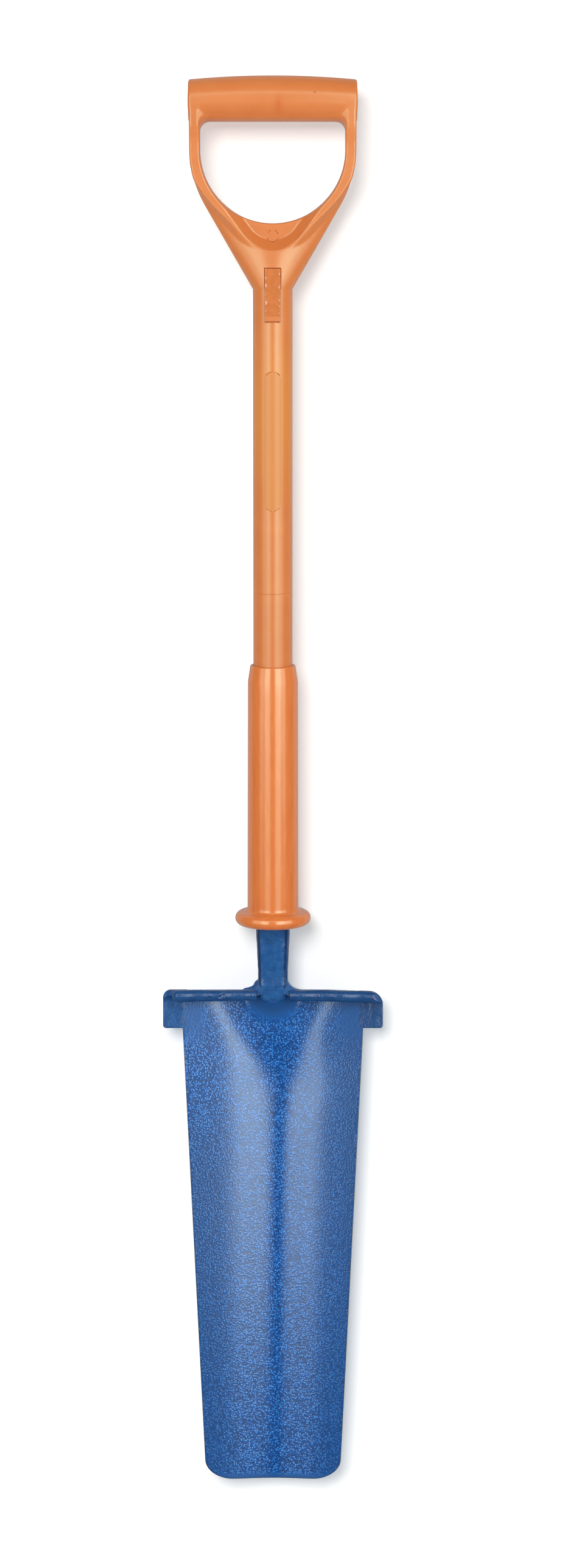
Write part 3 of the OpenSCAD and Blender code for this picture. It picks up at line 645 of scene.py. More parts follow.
def weld_form(side):
    tread = tread_form(side)

    def form(x, y, z):
        bead = joined(neck_form(x, y, z), tread(x, y, z), WELD_FILLET[side])
        for lump_x, lump_y, lump_z, size in WELD_LUMPS if side < 0 else ():
            lump = np.sqrt((x - lump_x) ** 2 + (y - lump_y) ** 2 + (z - lump_z) ** 2) - size
            bead = joined(bead, lump, 3.0)
        bead = bead + WELD_SINK
        for place, (start, end) in ((side * x, WELD_OUT), (y, WELD_DEPTH), (z, WELD_LEVELS)):
            bead = np.maximum(bead, np.maximum(start - place, place - end))
        return bead
    return form


weld_names = {-1: ("left_weld_bead", "left_neck_weld"), 1: ("right_weld_bead", "right_neck_weld")}
for side, (name, node) in weld_names.items():
    across = np.sort(side * steps((8.0, 30.0, 0.6)))
    points, faces, facing = skin(
        weld_form(side), across, steps((-18.4, 6.6, 0.7)), steps((401.0, 424.0, 0.6)))
    masks = {"bare_edge": np.zeros(len(points))}
    add_piece(name, points, faces, [node], masks, facing)

# %% [markdown]
# ## Sleeve
# The insulating sleeve is a turned form in plastic: a thick tube with a rolled guard flange at its
# foot and a tapered shoulder at the top. A profile spun around the shaft's axis is the plain way to
# make it. The small rounds at every edge matter, because each of them catches a line of light.

# %% Sleeve piece
FLANGE_LEVEL, FLANGE_RADIUS, FLANGE_RIM, FLANGE_FILLET = 61.0, 31.2, 5.5, 4.2
SLEEVE_LOW, SLEEVE_HIGH, SLEEVE_RIM = 21.0, 20.5, 18.5
SLEEVE_END, SLEEVE_TAPER, SLEEVE_BORE = 272.0, 12.5, 16.2
SHOULDER_ROUND = [(0.04, -1.2), (0.16, 0.0), (0.36, 1.4), (0.66, 3.2)]
rim_centre = FLANGE_RADIUS - FLANGE_RIM
foot, flange_top = FLANGE_LEVEL - FLANGE_RIM, FLANGE_LEVEL + FLANGE_RIM
shoulder = SLEEVE_END - SLEEVE_TAPER


def straight_run(start, end, shares):
    return [tuple(np.add(start, np.subtract(end, start) * q)) for q in shares]


profile = [(SLEEVE_BORE, shoulder), (SLEEVE_BORE, foot + 8), (SLEEVE_BORE, foot + 1.0)]
profile += arc((SLEEVE_BORE + 1.0, foot + 1.0), 1.0, 180, 270, 5)
profile += [(r, foot) for r in (19.0, 21.5, 24.0)]
profile += arc((rim_centre, FLANGE_LEVEL), FLANGE_RIM, -90, 90, 28)
profile += arc((SLEEVE_LOW + FLANGE_FILLET, flange_top + FLANGE_FILLET), FLANGE_FILLET, 270, 180, 12)
profile += straight_run((SLEEVE_LOW, flange_top + 6), (SLEEVE_HIGH, shoulder - 2), np.linspace(0, 1, 28))
profile += [(SLEEVE_HIGH - inward, shoulder + up) for inward, up in SHOULDER_ROUND]
profile += straight_run(profile[-1], (SLEEVE_RIM + 0.1, SLEEVE_END - 1.0), np.linspace(0.15, 1, 8))
profile += arc((SLEEVE_RIM - 0.9, SLEEVE_END - 1.0), 1.0, 5, 90, 6)
profile += [(SLEEVE_BORE + 0.7, SLEEVE_END)]
profile += arc((SLEEVE_BORE + 0.6, SLEEVE_END - 0.6), 0.6, 95, 180, 4)
profile += [(SLEEVE_BORE, SLEEVE_END - 4.0)]
points, faces = turned(profile, AROUND)
sleeve = add_piece("guard_sleeve", from_shaft(points), faces, ["insulating_sleeve"])
print("sleeve profile has", len(profile), "points")

# %% [markdown]
# ## Handle moulding
# Shaft jacket, yoke and D-grip are one plastic moulding. The shaft flares into a flat oval yoke, a
# flat ring stands on the yoke and runs up as two arms, and a crowned crossbar joins them. The ring's
# edge starts soft and gets crisper upwards, and small gussets thicken the arms at the crossbar. A
# sloped pocket thins the yoke to a web, front and back. Small radii soften every edge, and there are
# wide fillets where the arms run into the crossbar, so this form is put together from distances too.

# %% Yoke and arms
YOKE_START, BEND_LOW, BEND_HIGH = 578.75, 645.5, 693.5
ARM_HALF, BEND_RADIUS, ARM_DEPTH = 67.4, 96.0, 13.0
YOKE_SLOPE = math.tan(math.radians(30))
OVAL_TOP, ARM_TOP = 676.0, 731.0
RING_TOP, RING_LOW, RING_MARGIN = 668.0, 607.0, 16.0
RING_CRISP, RING_SOFT, CRISP_LEVEL = 1.8, 2.4, 628
GUSSET_RISE, GUSSET_LEVEL, GUSSET_INNER = 3.3, 690, 52.5


def grip_side(s):
    below = np.clip(BEND_HIGH - s, 0, BEND_HIGH - BEND_LOW)
    bend = ARM_HALF - BEND_RADIUS + np.sqrt(BEND_RADIUS ** 2 - below ** 2)
    lean = np.where(s < BEND_LOW, YOKE_SLOPE, below / np.sqrt(BEND_RADIUS ** 2 - below ** 2))
    half = np.where(s < BEND_LOW, SHAFT_RADIUS + np.maximum(s - YOKE_START, 0) * YOKE_SLOPE, bend)
    return half, np.where(s < YOKE_START, 0.0, lean)


def yoke_and_arms(x, v, s):
    half, lean = grip_side(s)
    out = np.abs(x)
    depth = SHAFT_RADIUS + (ARM_DEPTH - SHAFT_RADIUS) * ease((s - YOKE_START) / (BEND_LOW - YOKE_START))
    scale = np.sqrt((x / half) ** 2 + (v / depth) ** 2)
    steep = np.sqrt((x / half ** 2) ** 2 + (v / depth ** 2) ** 2) + 1e-6
    oval = np.maximum(scale * (scale - 1) / steep, np.maximum(s - OVAL_TOP, SOCKET_END + 0.05 - s))
    side = (out - half) / np.sqrt(1 + lean ** 2)
    margin = RING_MARGIN * (np.maximum(RING_TOP - s, 0) / (RING_TOP - RING_LOW)) ** 1.1
    rounding = RING_CRISP + RING_SOFT * (1 - ease((s - CRISP_LEVEL) / 20))
    gusset = ease((s - GUSSET_LEVEL) / 24) * np.clip((out - GUSSET_INNER) / 7.5, 0, 1)
    arm_depth = ARM_DEPTH + GUSSET_RISE * gusset
    ring = common(np.abs(v) - arm_depth, np.maximum(side + margin, s - ARM_TOP), rounding)
    fillet = 0.8 + 3.0 * ease((out - 16) / 14) * (1 - ease((s - 645) / 20))
    return np.maximum(joined(ring, oval, fillet), side)


print("yoke half width", [round(float(grip_side(s)[0]), 1) for s in (YOKE_START, BEND_LOW, BEND_HIGH)], "mm")

# %% [markdown]
# The hand opening is a round bottomed window. The pocket below it has a V shaped rim with a round
# bottom, tangent to the window, and its wall slopes in to the web. The crossbar is straight below
# and crowned on top.

# %% Opening, pocket and crossbar
OPENING_LEVEL, OPENING_HALF = 689.7, 58.4
POCKET_LEVEL, POCKET_RIM, POCKET_SLOPE, POCKET_END = 640.9, 29.37, 7.0, 39.2
POCKET_LEAN = math.radians(36.5)
WALL_COSINE = 0.77
WEB_HALF = 4.5
GRIP_HALF, BAR_BOTTOM, BAR_RADIUS, BAR_CROWN = 67.8, 712.7, 16.65, 1.59
BAR_LEVEL = BAR_BOTTOM + BAR_RADIUS
CORNER_FILLET = 9.0


def opening(x, s):
    return np.where(s > OPENING_LEVEL, np.abs(x), np.hypot(x, s - OPENING_LEVEL)) - OPENING_HALF


def pocket(x, v, s):
    rise, out = s - POCKET_LEVEL, np.abs(x)
    along = out * math.sin(POCKET_LEAN) + rise * math.cos(POCKET_LEAN)
    across = out * math.cos(POCKET_LEAN) - rise * math.sin(POCKET_LEAN)
    rim = POCKET_RIM - POCKET_SLOPE * (ARM_DEPTH - np.abs(v)) / (ARM_DEPTH - WEB_HALF)
    wall = (np.where(along > 0, across, np.hypot(x, rise)) - rim) * WALL_COSINE
    return np.maximum(common(wall, WEB_HALF - np.abs(v), 0.8), along - POCKET_END)


def crossbar(x, v, s):
    radius = BAR_RADIUS + BAR_CROWN * (1 - np.clip(x / GRIP_HALF, -1, 1) ** 2)
    return np.hypot(v, s - BAR_BOTTOM - radius) - radius


print("crossbar", 2 * BAR_RADIUS, "mm thick at its ends,", 2 * (BAR_RADIUS + BAR_CROWN), "mm in the middle")

# %% [markdown]
# The moulding has a bore for the rod, a hollow crossbar with seats for its plugs, a round ejector
# mark on the web, a recess for the label, a sunk panel that is left blank, and a fine line around the
# shaft where two mould halves met.

# %% Recesses and the whole moulding
ROD_TOP, ROD_BORE = 599.0, 12.2
GRIP_BORE, PLUG_SEAT, PLUG_DEPTH = 9.0, 11.3, 2.0
MARK_LEVEL, MARK_RADIUS, MARK_DEPTH = 621.66, 4.7, 0.3
RECESS_HALF, RECESS_LOW, RECESS_HIGH, RECESS_FLOOR = 6.6, 553.25, 596.25, 14.5
PANEL_HALF, PANEL_LOW, PANEL_HIGH, PANEL_DEPTH = 6.95, 400.1, 513.1, 0.4
MOULD_LINE, LINE_HALF, LINE_DEPTH = 332.0, 0.3, 0.12
EDGE_ROUND = 1.8


def panel_outline(x, s):
    straight_half = (PANEL_HIGH - PANEL_LOW) / 2 - PANEL_HALF
    beyond = np.maximum(np.abs(s - (PANEL_LOW + PANEL_HIGH) / 2) - straight_half, 0)
    return np.hypot(x, beyond) - PANEL_HALF


def recess_outline(x, s):
    return np.maximum(np.abs(x) - RECESS_HALF, np.maximum(RECESS_LOW - s, s - RECESS_HIGH))


def handle_form(x, v, s):
    bar = crossbar(x, v, s)
    window = joined(-opening(x, s), bar, CORNER_FILLET)
    form = common(yoke_and_arms(x, v, s), window, EDGE_ROUND)
    form = common(form, -pocket(x, v, s), 0.8)
    form = joined(form, bar, 1.2)
    form = common(form, np.abs(x) - GRIP_HALF, EDGE_ROUND)
    round_gap, bar_gap = np.hypot(x, v), np.hypot(v, s - BAR_LEVEL)
    form = np.maximum(form, -np.maximum(round_gap - ROD_BORE, s - ROD_TOP))
    form = np.maximum(form, GRIP_BORE - bar_gap)
    seat = np.maximum(bar_gap - PLUG_SEAT, GRIP_HALF - PLUG_DEPTH - np.abs(x))
    mark = np.hypot(x, s - MARK_LEVEL) - MARK_RADIUS
    mark = np.maximum(mark, WEB_HALF - MARK_DEPTH - np.abs(v))
    recess = np.maximum(recess_outline(x, s), v + RECESS_FLOOR)
    panel = np.maximum(panel_outline(x, s), np.maximum(v, SHAFT_RADIUS - PANEL_DEPTH - round_gap))
    line = np.maximum(np.abs(s - MOULD_LINE) - LINE_HALF, SHAFT_RADIUS - LINE_DEPTH - round_gap)
    for hollow, rounding in ((seat, 0.4), (mark, 0.12), (recess, 0.3), (panel, 0.2), (line, 0.1)):
        form = common(form, -hollow, rounding)
    return form


# %% [markdown]
# The grid is finer where there is more to show. The masks mark the sunk panel, the patch on the
# crossbar where two flows of plastic met, a speck, painted shade on the recess's wall, and a yellower
# stretch of the shaft.

# %% Handle piece
FLOW_MARK_X, FLOW_MARK_RISE, FLOW_MARK_WIDE, FLOW_MARK_HIGH = 4.5, -2.0, 3.0, 7.0
SPECK_X, SPECK_RISE, SPECK_SIZE = 33.5, 7.0, 0.7
YELLOW_LEVEL, YELLOW_REACH = 478.0, 58.0
across = steps((-69.0, -17.4, 1.2), (-17.4, -9.0, 1.05), (-9.0, 9.0, 0.72), (9.0, 17.4, 1.05),
               (17.4, 69.0, 1.2))
ahead = steps((-19.2, -12.0, 0.9), (-12.0, 12.0, 1.2), (12.0, 19.2, 0.9))
along = steps((199.0, 331.0, 5.5), (331.0, 333.0, 0.25), (333.0, 397.0, 5.5), (397.0, 403.0, 0.6),
              (403.0, 510.0, 1.6), (510.0, 516.0, 0.6), (516.0, 551.0, 3.5), (551.0, 600.0, 0.8),
              (600.0, 751.0, 1.15))
points, faces, facing = skin(handle_form, across, ahead, along)
hx, hv, hs = points.T
bar_rise, in_front = hs - BAR_LEVEL, hv < 0
flow_gap = np.hypot((hx - FLOW_MARK_X) / FLOW_MARK_WIDE, (bar_rise - FLOW_MARK_RISE) / FLOW_MARK_HIGH)
speck_gap = np.hypot(hx - SPECK_X, bar_rise - SPECK_RISE)
masks = {
    "panel": np.clip(0.5 - panel_outline(hx, hs), 0, 1) * in_front * (hs < 520),
    "flow_mark": in_front * np.exp(-flow_gap ** 2),
    "speck": in_front * np.clip(1.6 - speck_gap / SPECK_SIZE, 0, 1),
    # painted shade: the recess's wall is coloured dark
    "recess_painted_shade": in_front * np.clip(1.5 - np.abs(recess_outline(hx, hs)) / 0.4, 0, 1),
    # a yellower colour on a band around the middle of the shaft
    "yellower_band": np.exp(-((hs - YELLOW_LEVEL) / YELLOW_REACH) ** 2)}
handle = add_piece("grip_and_shaft", from_shaft(points), faces, ["handle_moulding"],
                   masks, from_shaft(points + facing) - from_shaft(points))

# %% [markdown]
# ## Label film
# A blank strip of glossy film lies in the recess at the top of the shaft. Its edges have lifted and
# curl in small waves, which is what makes it glint. A fine grid with a wave along each side edge and
# a thin underside gives it real thickness.

# %% Label piece
FILM_HALF, FILM_LOW, FILM_HIGH, FILM_THICK = 6.35, 558.1, 596.0, 0.35
FILM_LIFT, FILM_CROWN = 0.42, 0.12
grid_x, grid_s = np.meshgrid(np.linspace(-1, 1, 41), np.linspace(FILM_LOW, FILM_HIGH, 115))
lift = FILM_LIFT * np.clip((np.abs(grid_x) - 0.55) / 0.45, 0, 1) ** 1.5
wave = np.where(grid_x < 0, np.sin(grid_s * 0.93 + 0.4) + 0.6 * np.sin(grid_s * 0.39),
                np.sin(grid_s * 1.21 + 2.0) + 0.7 * np.sin(grid_s * 0.52 + 1.0))
crown = FILM_CROWN * (1 - grid_x ** 2)
top = -RECESS_FLOOR - FILM_THICK - crown - lift * (0.55 + 0.32 * wave)
film_points = [np.stack([grid_x * FILM_HALF, level, grid_s], axis=2).reshape(-1, 3)
               for level in (top, top + FILM_THICK - 0.04)]
film_index = np.arange(grid_x.size).reshape(grid_x.shape)
film_quads = grid_quads(film_index)
ring, under = boundary(film_index), boundary(film_index) + grid_x.size
film_rim = np.stack([ring, under, np.roll(under, -1), np.roll(ring, -1)], axis=1)
film_faces = np.concatenate([film_quads, film_quads[:, ::-1] + grid_x.size, film_rim])
label = add_piece("label_film", from_shaft(np.concatenate(film_points)), film_faces, ["label"])

# %% [markdown]
# ## Finishes
# Each finish starts from what the real surface is and how it was made. Patterns are placed in the
# part's own metres, so a pattern of a given size in millimetres gets the scale 1000 / size.

# %% Starting a finish
def new_finish(name):
    made = bpy.data.materials.new(name)
    made.use_nodes = True
    made.node_tree.nodes.clear()
    return made, made.node_tree, add_node(made.node_tree, "ShaderNodeTexCoord").outputs["Object"]


def per_metre(size_mm):
    return 1000.0 / size_mm


def dress(finish, *objects):
    for thing in objects:
        thing.data.materials.clear()
        thing.data.materials.append(finish)
    print(finish.name, "on", ", ".join(thing.name for thing in objects))


# %% [markdown]
# ### Hammered enamel on the blade
# Hammer finish paint pulls together as it dries, into small shiny pillows with thin dark valleys
# between them. Each pillow is a little mirror, so the blade glitters where it faces a lamp and goes
# deep blue where it doesn't. The cells are about 1.4 mm wide, drawn at 1.6 mm so that the render can
# show them. A noise bends them a little, so that no two are alike.

# %% Pattern of the hammered enamel
CELL_MM, CELL_DRIFT = 1.6, 0.0006
hammered_enamel, tree, place = new_finish("hammered_blue_enamel")
mask, bare, painted_shade = (add_node(tree, "ShaderNodeAttribute", attribute_name=name).outputs["Fac"]
                         for name in ("hammered", "bare_edge", "painted_shade"))
drift, grain, patches = (
    add_node(tree, "ShaderNodeTexNoise", {"Vector": place, "Scale": per_metre(size), "Detail": detail})
    for size, detail in ((5.0, 2.0), (0.9, 3.0), (9.0, 3.0)))
bent = add_node(tree, "ShaderNodeVectorMath", {
    0: drift.outputs["Color"], 1: (CELL_DRIFT,) * 3, 2: place}, operation="MULTIPLY_ADD")
cells = add_node(tree, "ShaderNodeTexVoronoi", {
    "Vector": bent.outputs[0], "Scale": per_metre(CELL_MM), "Smoothness": 0.35}, feature="SMOOTH_F1")
pillow = add_node(tree, "ShaderNodeMapRange", {
    "Value": cells.outputs["Distance"], "From Min": 0.08, "From Max": 0.62, "To Min": 1.0, "To Max": 0.0})
uneven = add_node(tree, "ShaderNodeMath", {
    0: grain.outputs["Fac"], 1: 1.3, 2: -0.65}, operation="MULTIPLY_ADD")
height = add_node(tree, "ShaderNodeMath", {0: pillow.outputs[0], 1: uneven.outputs[0]}, operation="ADD")
print("hammer cells of", CELL_MM, "mm")

# %% [markdown]
# The colour follows the height, with faint clouds. The cells are the paint's own pattern; their dark
# valleys are painted shade and their light pillow tops painted highlight. It is painted darker towards
# the sides, as shade. Under the neck, beside the ears and along the cutting edge the paint stayed
# smooth. The cut edges have lost their paint and have gone brown. The shine is tinted a little, to the
# cool side.

# %% Hammered enamel
shade = add_node(tree, "ShaderNodeMix", {
    "Factor": mask, "A": 0.55, "B": height.outputs[0]}, data_type="FLOAT")
# painted shade in the valleys and painted highlight on the pillow tops, over the cells' own pattern
blues = add_node(tree, "ShaderNodeValToRGB", {"Fac": shade.outputs[0]},
                 stops=[(0.10, "#003E80"), (0.5, "#0A62B8"), (1.0, "#4A98E0")])
cloud = add_node(tree, "ShaderNodeMapRange", {
    "Value": patches.outputs["Fac"], "From Min": 0.3, "From Max": 0.7, "To Min": 0.86, "To Max": 1.12})
clouded = add_node(tree, "ShaderNodeVectorMath", {
    0: blues.outputs[0], 3: cloud.outputs[0]}, operation="SCALE")
# painted shade: towards the sides the blue is painted darker
side_shaded = add_node(tree, "ShaderNodeMix", {
    "Factor": painted_shade, "A": clouded.outputs[0], "B": linear("#0C4684")}, data_type="RGBA")
laid = add_node(tree, "ShaderNodeMix", {
    "Factor": mask, "A": linear("#1E5290"), "B": side_shaded.outputs["Result"]}, data_type="RGBA")
ragged = add_node(tree, "ShaderNodeMath", {0: grain.outputs["Fac"], 1: bare}, operation="ADD")
worn = add_node(tree, "ShaderNodeMapRange", {
    "Value": ragged.outputs[0], "From Min": 1.18, "From Max": 1.34})
colour = add_node(tree, "ShaderNodeMix", {
    "Factor": worn.outputs[0], "A": laid.outputs["Result"], "B": linear("#2E2A2A")}, data_type="RGBA")
tooth = add_node(tree, "ShaderNodeMath", {0: mask, 1: 0.85, 2: 0.10}, operation="MULTIPLY_ADD")
bump = add_node(tree, "ShaderNodeBump", {
    "Strength": tooth.outputs[0], "Distance": 0.00006, "Height": height.outputs[0]})
polish = add_node(tree, "ShaderNodeMapRange", {
    "Value": worn.outputs[0], "To Min": 0.18, "To Max": 0.55})
paint = add_node(tree, "ShaderNodeBsdfPrincipled", {
    "Base Color": colour.outputs["Result"], "Normal": bump.outputs[0], "Roughness": polish.outputs[0],
    "Specular IOR Level": 1.0, "Specular Tint": linear("#ECFFFC"),
    "Coat Weight": 0.32, "Coat Roughness": 0.18})
add_node(tree, "ShaderNodeOutputMaterial", {"Surface": paint.outputs[0]})
dress(hammered_enamel, blade)

# %% [markdown]
# ### Enamel on the forgings
# Neck, treads and welds carry the same blue, brushed thickly over forged steel. It stays satin, with
# a slight orange peel and the broad dents of the forging below, and it is painted darker in places, as
# shade.
# At chipped corners and in scratches the steel shows, dark where it is old.

# %% Forging enamel
FORGINGS = ("forged_neck", "left_foot_tread", "right_foot_tread", "left_weld_bead", "right_weld_bead")
forging_enamel, tree, place = new_finish("satin_blue_enamel_on_forging")
bare, painted_shade = (add_node(tree, "ShaderNodeAttribute", attribute_name=name).outputs["Fac"]
                   for name in ("bare_edge", "painted_shade"))
peel, dents = (
    add_node(tree, "ShaderNodeTexNoise", {"Vector": place, "Scale": per_metre(size), "Detail": detail})
    for size, detail in ((1.1, 3.0), (6.0, 2.0)))
both = add_node(tree, "ShaderNodeMath", {
    0: dents.outputs["Fac"], 1: 3.0, 2: peel.outputs["Fac"]}, operation="MULTIPLY_ADD")
blues = add_node(tree, "ShaderNodeValToRGB", {"Fac": dents.outputs["Fac"]},
                 stops=[(0.30, "#1A4A82"), (0.72, "#265C94")])
ragged = add_node(tree, "ShaderNodeMath", {0: peel.outputs["Fac"], 1: bare}, operation="ADD")
worn = add_node(tree, "ShaderNodeMapRange", {"Value": ragged.outputs[0], "From Min": 1.2, "From Max": 1.4})
# painted shade: the darker blue on the neck's sides and on the treads
side_shaded = add_node(tree, "ShaderNodeMix", {
    "Factor": painted_shade, "A": blues.outputs[0], "B": linear("#14335E")}, data_type="RGBA")
colour = add_node(tree, "ShaderNodeMix", {
    "Factor": worn.outputs[0], "A": side_shaded.outputs["Result"], "B": linear("#33302E")}, data_type="RGBA")
bump = add_node(tree, "ShaderNodeBump", {"Strength": 0.5, "Distance": 0.0003, "Height": both.outputs[0]})
polish = add_node(tree, "ShaderNodeMapRange", {
    "Value": peel.outputs["Fac"], "To Min": 0.15, "To Max": 0.22})
paint = add_node(tree, "ShaderNodeBsdfPrincipled", {
    "Base Color": colour.outputs["Result"], "Normal": bump.outputs[0], "Roughness": polish.outputs[0],
    "Specular IOR Level": 0.6})
add_node(tree, "ShaderNodeOutputMaterial", {"Surface": paint.outputs[0]})
dress(forging_enamel, *(thing for thing in scene.objects if thing.name in FORGINGS))

# %% [markdown]
# ### Moulded polypropylene on the handle
# The handle is injection moulded and has the fine spark eroded grain of its mould, so it is satin.
# The colour drifts a little where the plastic flowed, and a stretch of the shaft is coloured a little
# yellower. The grain is about 0.3 mm on the real one, too fine for the render, so it is drawn at 0.8 mm.
# The sunk panel is flatter and duller, and the wall of the label's recess is painted dark as shade. The
# crossbar has a darker patch in the middle, where the two flows of plastic met, and one dark speck. The
# shine is tinted against the orange, which keeps it near white.

# %% Satin orange plastic
# the recess wall's colour is painted shade
MARKS = {"yellower_band": "#D6833D", "flow_mark": "#CC6A30", "speck": "#86482A", "recess_painted_shade": "#A84A22",
         "panel": "#D17A31"}
satin_orange, tree, place = new_finish("satin_orange_polypropylene")
grain = add_node(tree, "ShaderNodeTexNoise", {"Vector": place, "Scale": per_metre(0.8), "Detail": 2.0})
flow = add_node(tree, "ShaderNodeTexNoise", {
    "Vector": place, "Scale": per_metre(26.0), "Detail": 3.0, "Distortion": 0.6})
oranges = add_node(tree, "ShaderNodeValToRGB", {"Fac": flow.outputs["Fac"]},
                   stops=[(0.3, "#D0743A"), (0.7, "#D67C42")])
colour = oranges.outputs[0]
for name, tone in MARKS.items():
    mask = add_node(tree, "ShaderNodeAttribute", attribute_name=name).outputs["Fac"]
    marked = add_node(tree, "ShaderNodeMix", {
        "Factor": mask, "A": colour, "B": linear(tone)}, data_type="RGBA")
    colour = marked.outputs["Result"]
panel = mask
tooth = add_node(tree, "ShaderNodeMath", {0: panel, 1: 0.35, 2: 0.12}, operation="MULTIPLY_ADD")
bump = add_node(tree, "ShaderNodeBump", {
    "Strength": tooth.outputs[0], "Distance": 0.00004, "Height": grain.outputs["Fac"]})
rough = add_node(tree, "ShaderNodeMath", {0: panel, 1: 0.14, 2: 0.27}, operation="MULTIPLY_ADD")
plastic = add_node(tree, "ShaderNodeBsdfPrincipled", {
    "Base Color": colour, "Normal": bump.outputs[0], "Roughness": rough.outputs[0],
    "Specular IOR Level": 1.0, "Specular Tint": linear("#CCFFDA"),
    "Coat Weight": 0.25, "Coat Roughness": 0.3})
add_node(tree, "ShaderNodeOutputMaterial", {"Surface": plastic.outputs[0]})
dress(satin_orange, handle, nodes["left_end_plug"], nodes["right_end_plug"])

# %% [markdown]
# ### Glossy plastic on the sleeve
# The sleeve comes from a polished mould and is much shinier than the handle: two crisp bands of light
# run down it. Faint streaks along it show the drawing of the material.

# %% Glossy orange plastic
glossy_orange, tree, place = new_finish("glossy_orange_polyethylene")
stretched = add_node(tree, "ShaderNodeMapping", {"Vector": place, "Scale": (1.0, 1.0, 0.08)})
streaks = add_node(tree, "ShaderNodeTexNoise", {
    "Vector": stretched.outputs[0], "Scale": per_metre(3.5), "Detail": 2.0})
oranges = add_node(tree, "ShaderNodeValToRGB", {"Fac": streaks.outputs["Fac"]},
                   stops=[(0.3, "#D77236"), (0.7, "#DD7A3C")])
bump = add_node(tree, "ShaderNodeBump", {
    "Strength": 0.15, "Distance": 0.00005, "Height": streaks.outputs["Fac"]})
polish = add_node(tree, "ShaderNodeMapRange", {
    "Value": streaks.outputs["Fac"], "To Min": 0.18, "To Max": 0.26})
plastic = add_node(tree, "ShaderNodeBsdfPrincipled", {
    "Base Color": oranges.outputs[0], "Normal": bump.outputs[0], "Roughness": polish.outputs[0],
    "Specular IOR Level": 1.0, "Specular Tint": linear("#D4FFC8"),
    "Coat Weight": 0.7, "Coat IOR": 1.7, "Coat Roughness": 0.16})
add_node(tree, "ShaderNodeOutputMaterial", {"Surface": plastic.outputs[0]})
dress(glossy_orange, sleeve)

# %% [markdown]
# ### Polyester film on the label
# The label is thin rolled film. It is shinier than the sleeve, with soft wrinkles about 4 mm apart
# that break up its glints.

# %% Label film finish
clear_film, tree, place = new_finish("glossy_polyester_film")
wrinkle = add_node(tree, "ShaderNodeTexNoise", {"Vector": place, "Scale": per_metre(4.0), "Detail": 1.0})
oranges = add_node(tree, "ShaderNodeValToRGB", {"Fac": wrinkle.outputs["Fac"]},
                   stops=[(0.35, "#C3713B"), (0.7, "#CB7A45")])
bump = add_node(tree, "ShaderNodeBump", {
    "Strength": 0.4, "Distance": 0.00015, "Height": wrinkle.outputs["Fac"]})
film = add_node(tree, "ShaderNodeBsdfPrincipled", {
    "Base Color": oranges.outputs[0], "Normal": bump.outputs[0], "Roughness": 0.12,
    "Coat Weight": 0.6, "Coat Roughness": 0.05})
add_node(tree, "ShaderNodeOutputMaterial", {"Surface": film.outputs[0]})
dress(clear_film, label)

# %% [markdown]
# ### Finishes inside
# The rod, its contrasting layer, the resin, the rivets and the seal are out of sight, and they are
# finished for anyone who takes the part apart: drawn glass fibre has streaks along the rod, the layer
# has extrusion lines, resin is amber and cloudy, steel is brushed, rubber is dull.

# %% Inner finishes
ROUGH_SPREAD = 0.06
INNER = {
    "drawn_glass_fibre_rod": ("core_rod", "#CFCFB4", "#DCDCC6", 0.5, 0.0, (1.0, 1.0, 0.03), 0.9),
    "extruded_yellow_layer": ("indicator_sheath", "#E4C02C", "#F0CE3E", 0.32, 0.0, (1.0, 1.0, 0.05), 1.6),
    "cured_amber_resin": ("resin_bond", "#C9A85C", "#DDC07A", 0.18, 0.0, (1.0, 1.0, 1.0), 2.5),
    "brushed_rivet_steel": ("socket_rivets", "#8C8D90", "#A3A4A8", 0.38, 1.0, (0.06, 1.0, 1.0), 0.4),
    "black_sealing_rubber": ("sleeve_seal", "#1C1C1E", "#29292B", 0.75, 0.0, (1.0, 1.0, 1.0), 0.8)}
for name, (node, dark, light, rough, metal, stretch, size_mm) in INNER.items():
    inner, tree, place = new_finish(name)
    stretched = add_node(tree, "ShaderNodeMapping", {"Vector": place, "Scale": stretch})
    streaks = add_node(tree, "ShaderNodeTexNoise", {
        "Vector": stretched.outputs[0], "Scale": per_metre(size_mm), "Detail": 3.0})
    tones = add_node(tree, "ShaderNodeValToRGB", {"Fac": streaks.outputs["Fac"]},
                     stops=[(0.3, dark), (0.7, light)])
    bump = add_node(tree, "ShaderNodeBump", {
        "Strength": 0.3, "Distance": 0.00005, "Height": streaks.outputs["Fac"]})
    polish = add_node(tree, "ShaderNodeMapRange", {
        "Value": streaks.outputs["Fac"], "To Min": rough - ROUGH_SPREAD, "To Max": rough + ROUGH_SPREAD})
    body = add_node(tree, "ShaderNodeBsdfPrincipled", {
        "Base Color": tones.outputs[0], "Normal": bump.outputs[0], "Roughness": polish.outputs[0],
        "Metallic": metal})
    add_node(tree, "ShaderNodeOutputMaterial", {"Surface": body.outputs[0]})
    dress(inner, nodes[node])

# %% [markdown]
# ## Studio
# The tool hangs in front of a white sheet, lit by tall soft boxes left and right of the camera. A
# round handle shows them as bright bands with a darker gap between, and those bands are what makes
# the plastic read as plastic. The sheet follows the back of the tool, so that a soft shadow falls
# right beside it. It is one sided: seen from behind it isn't there.

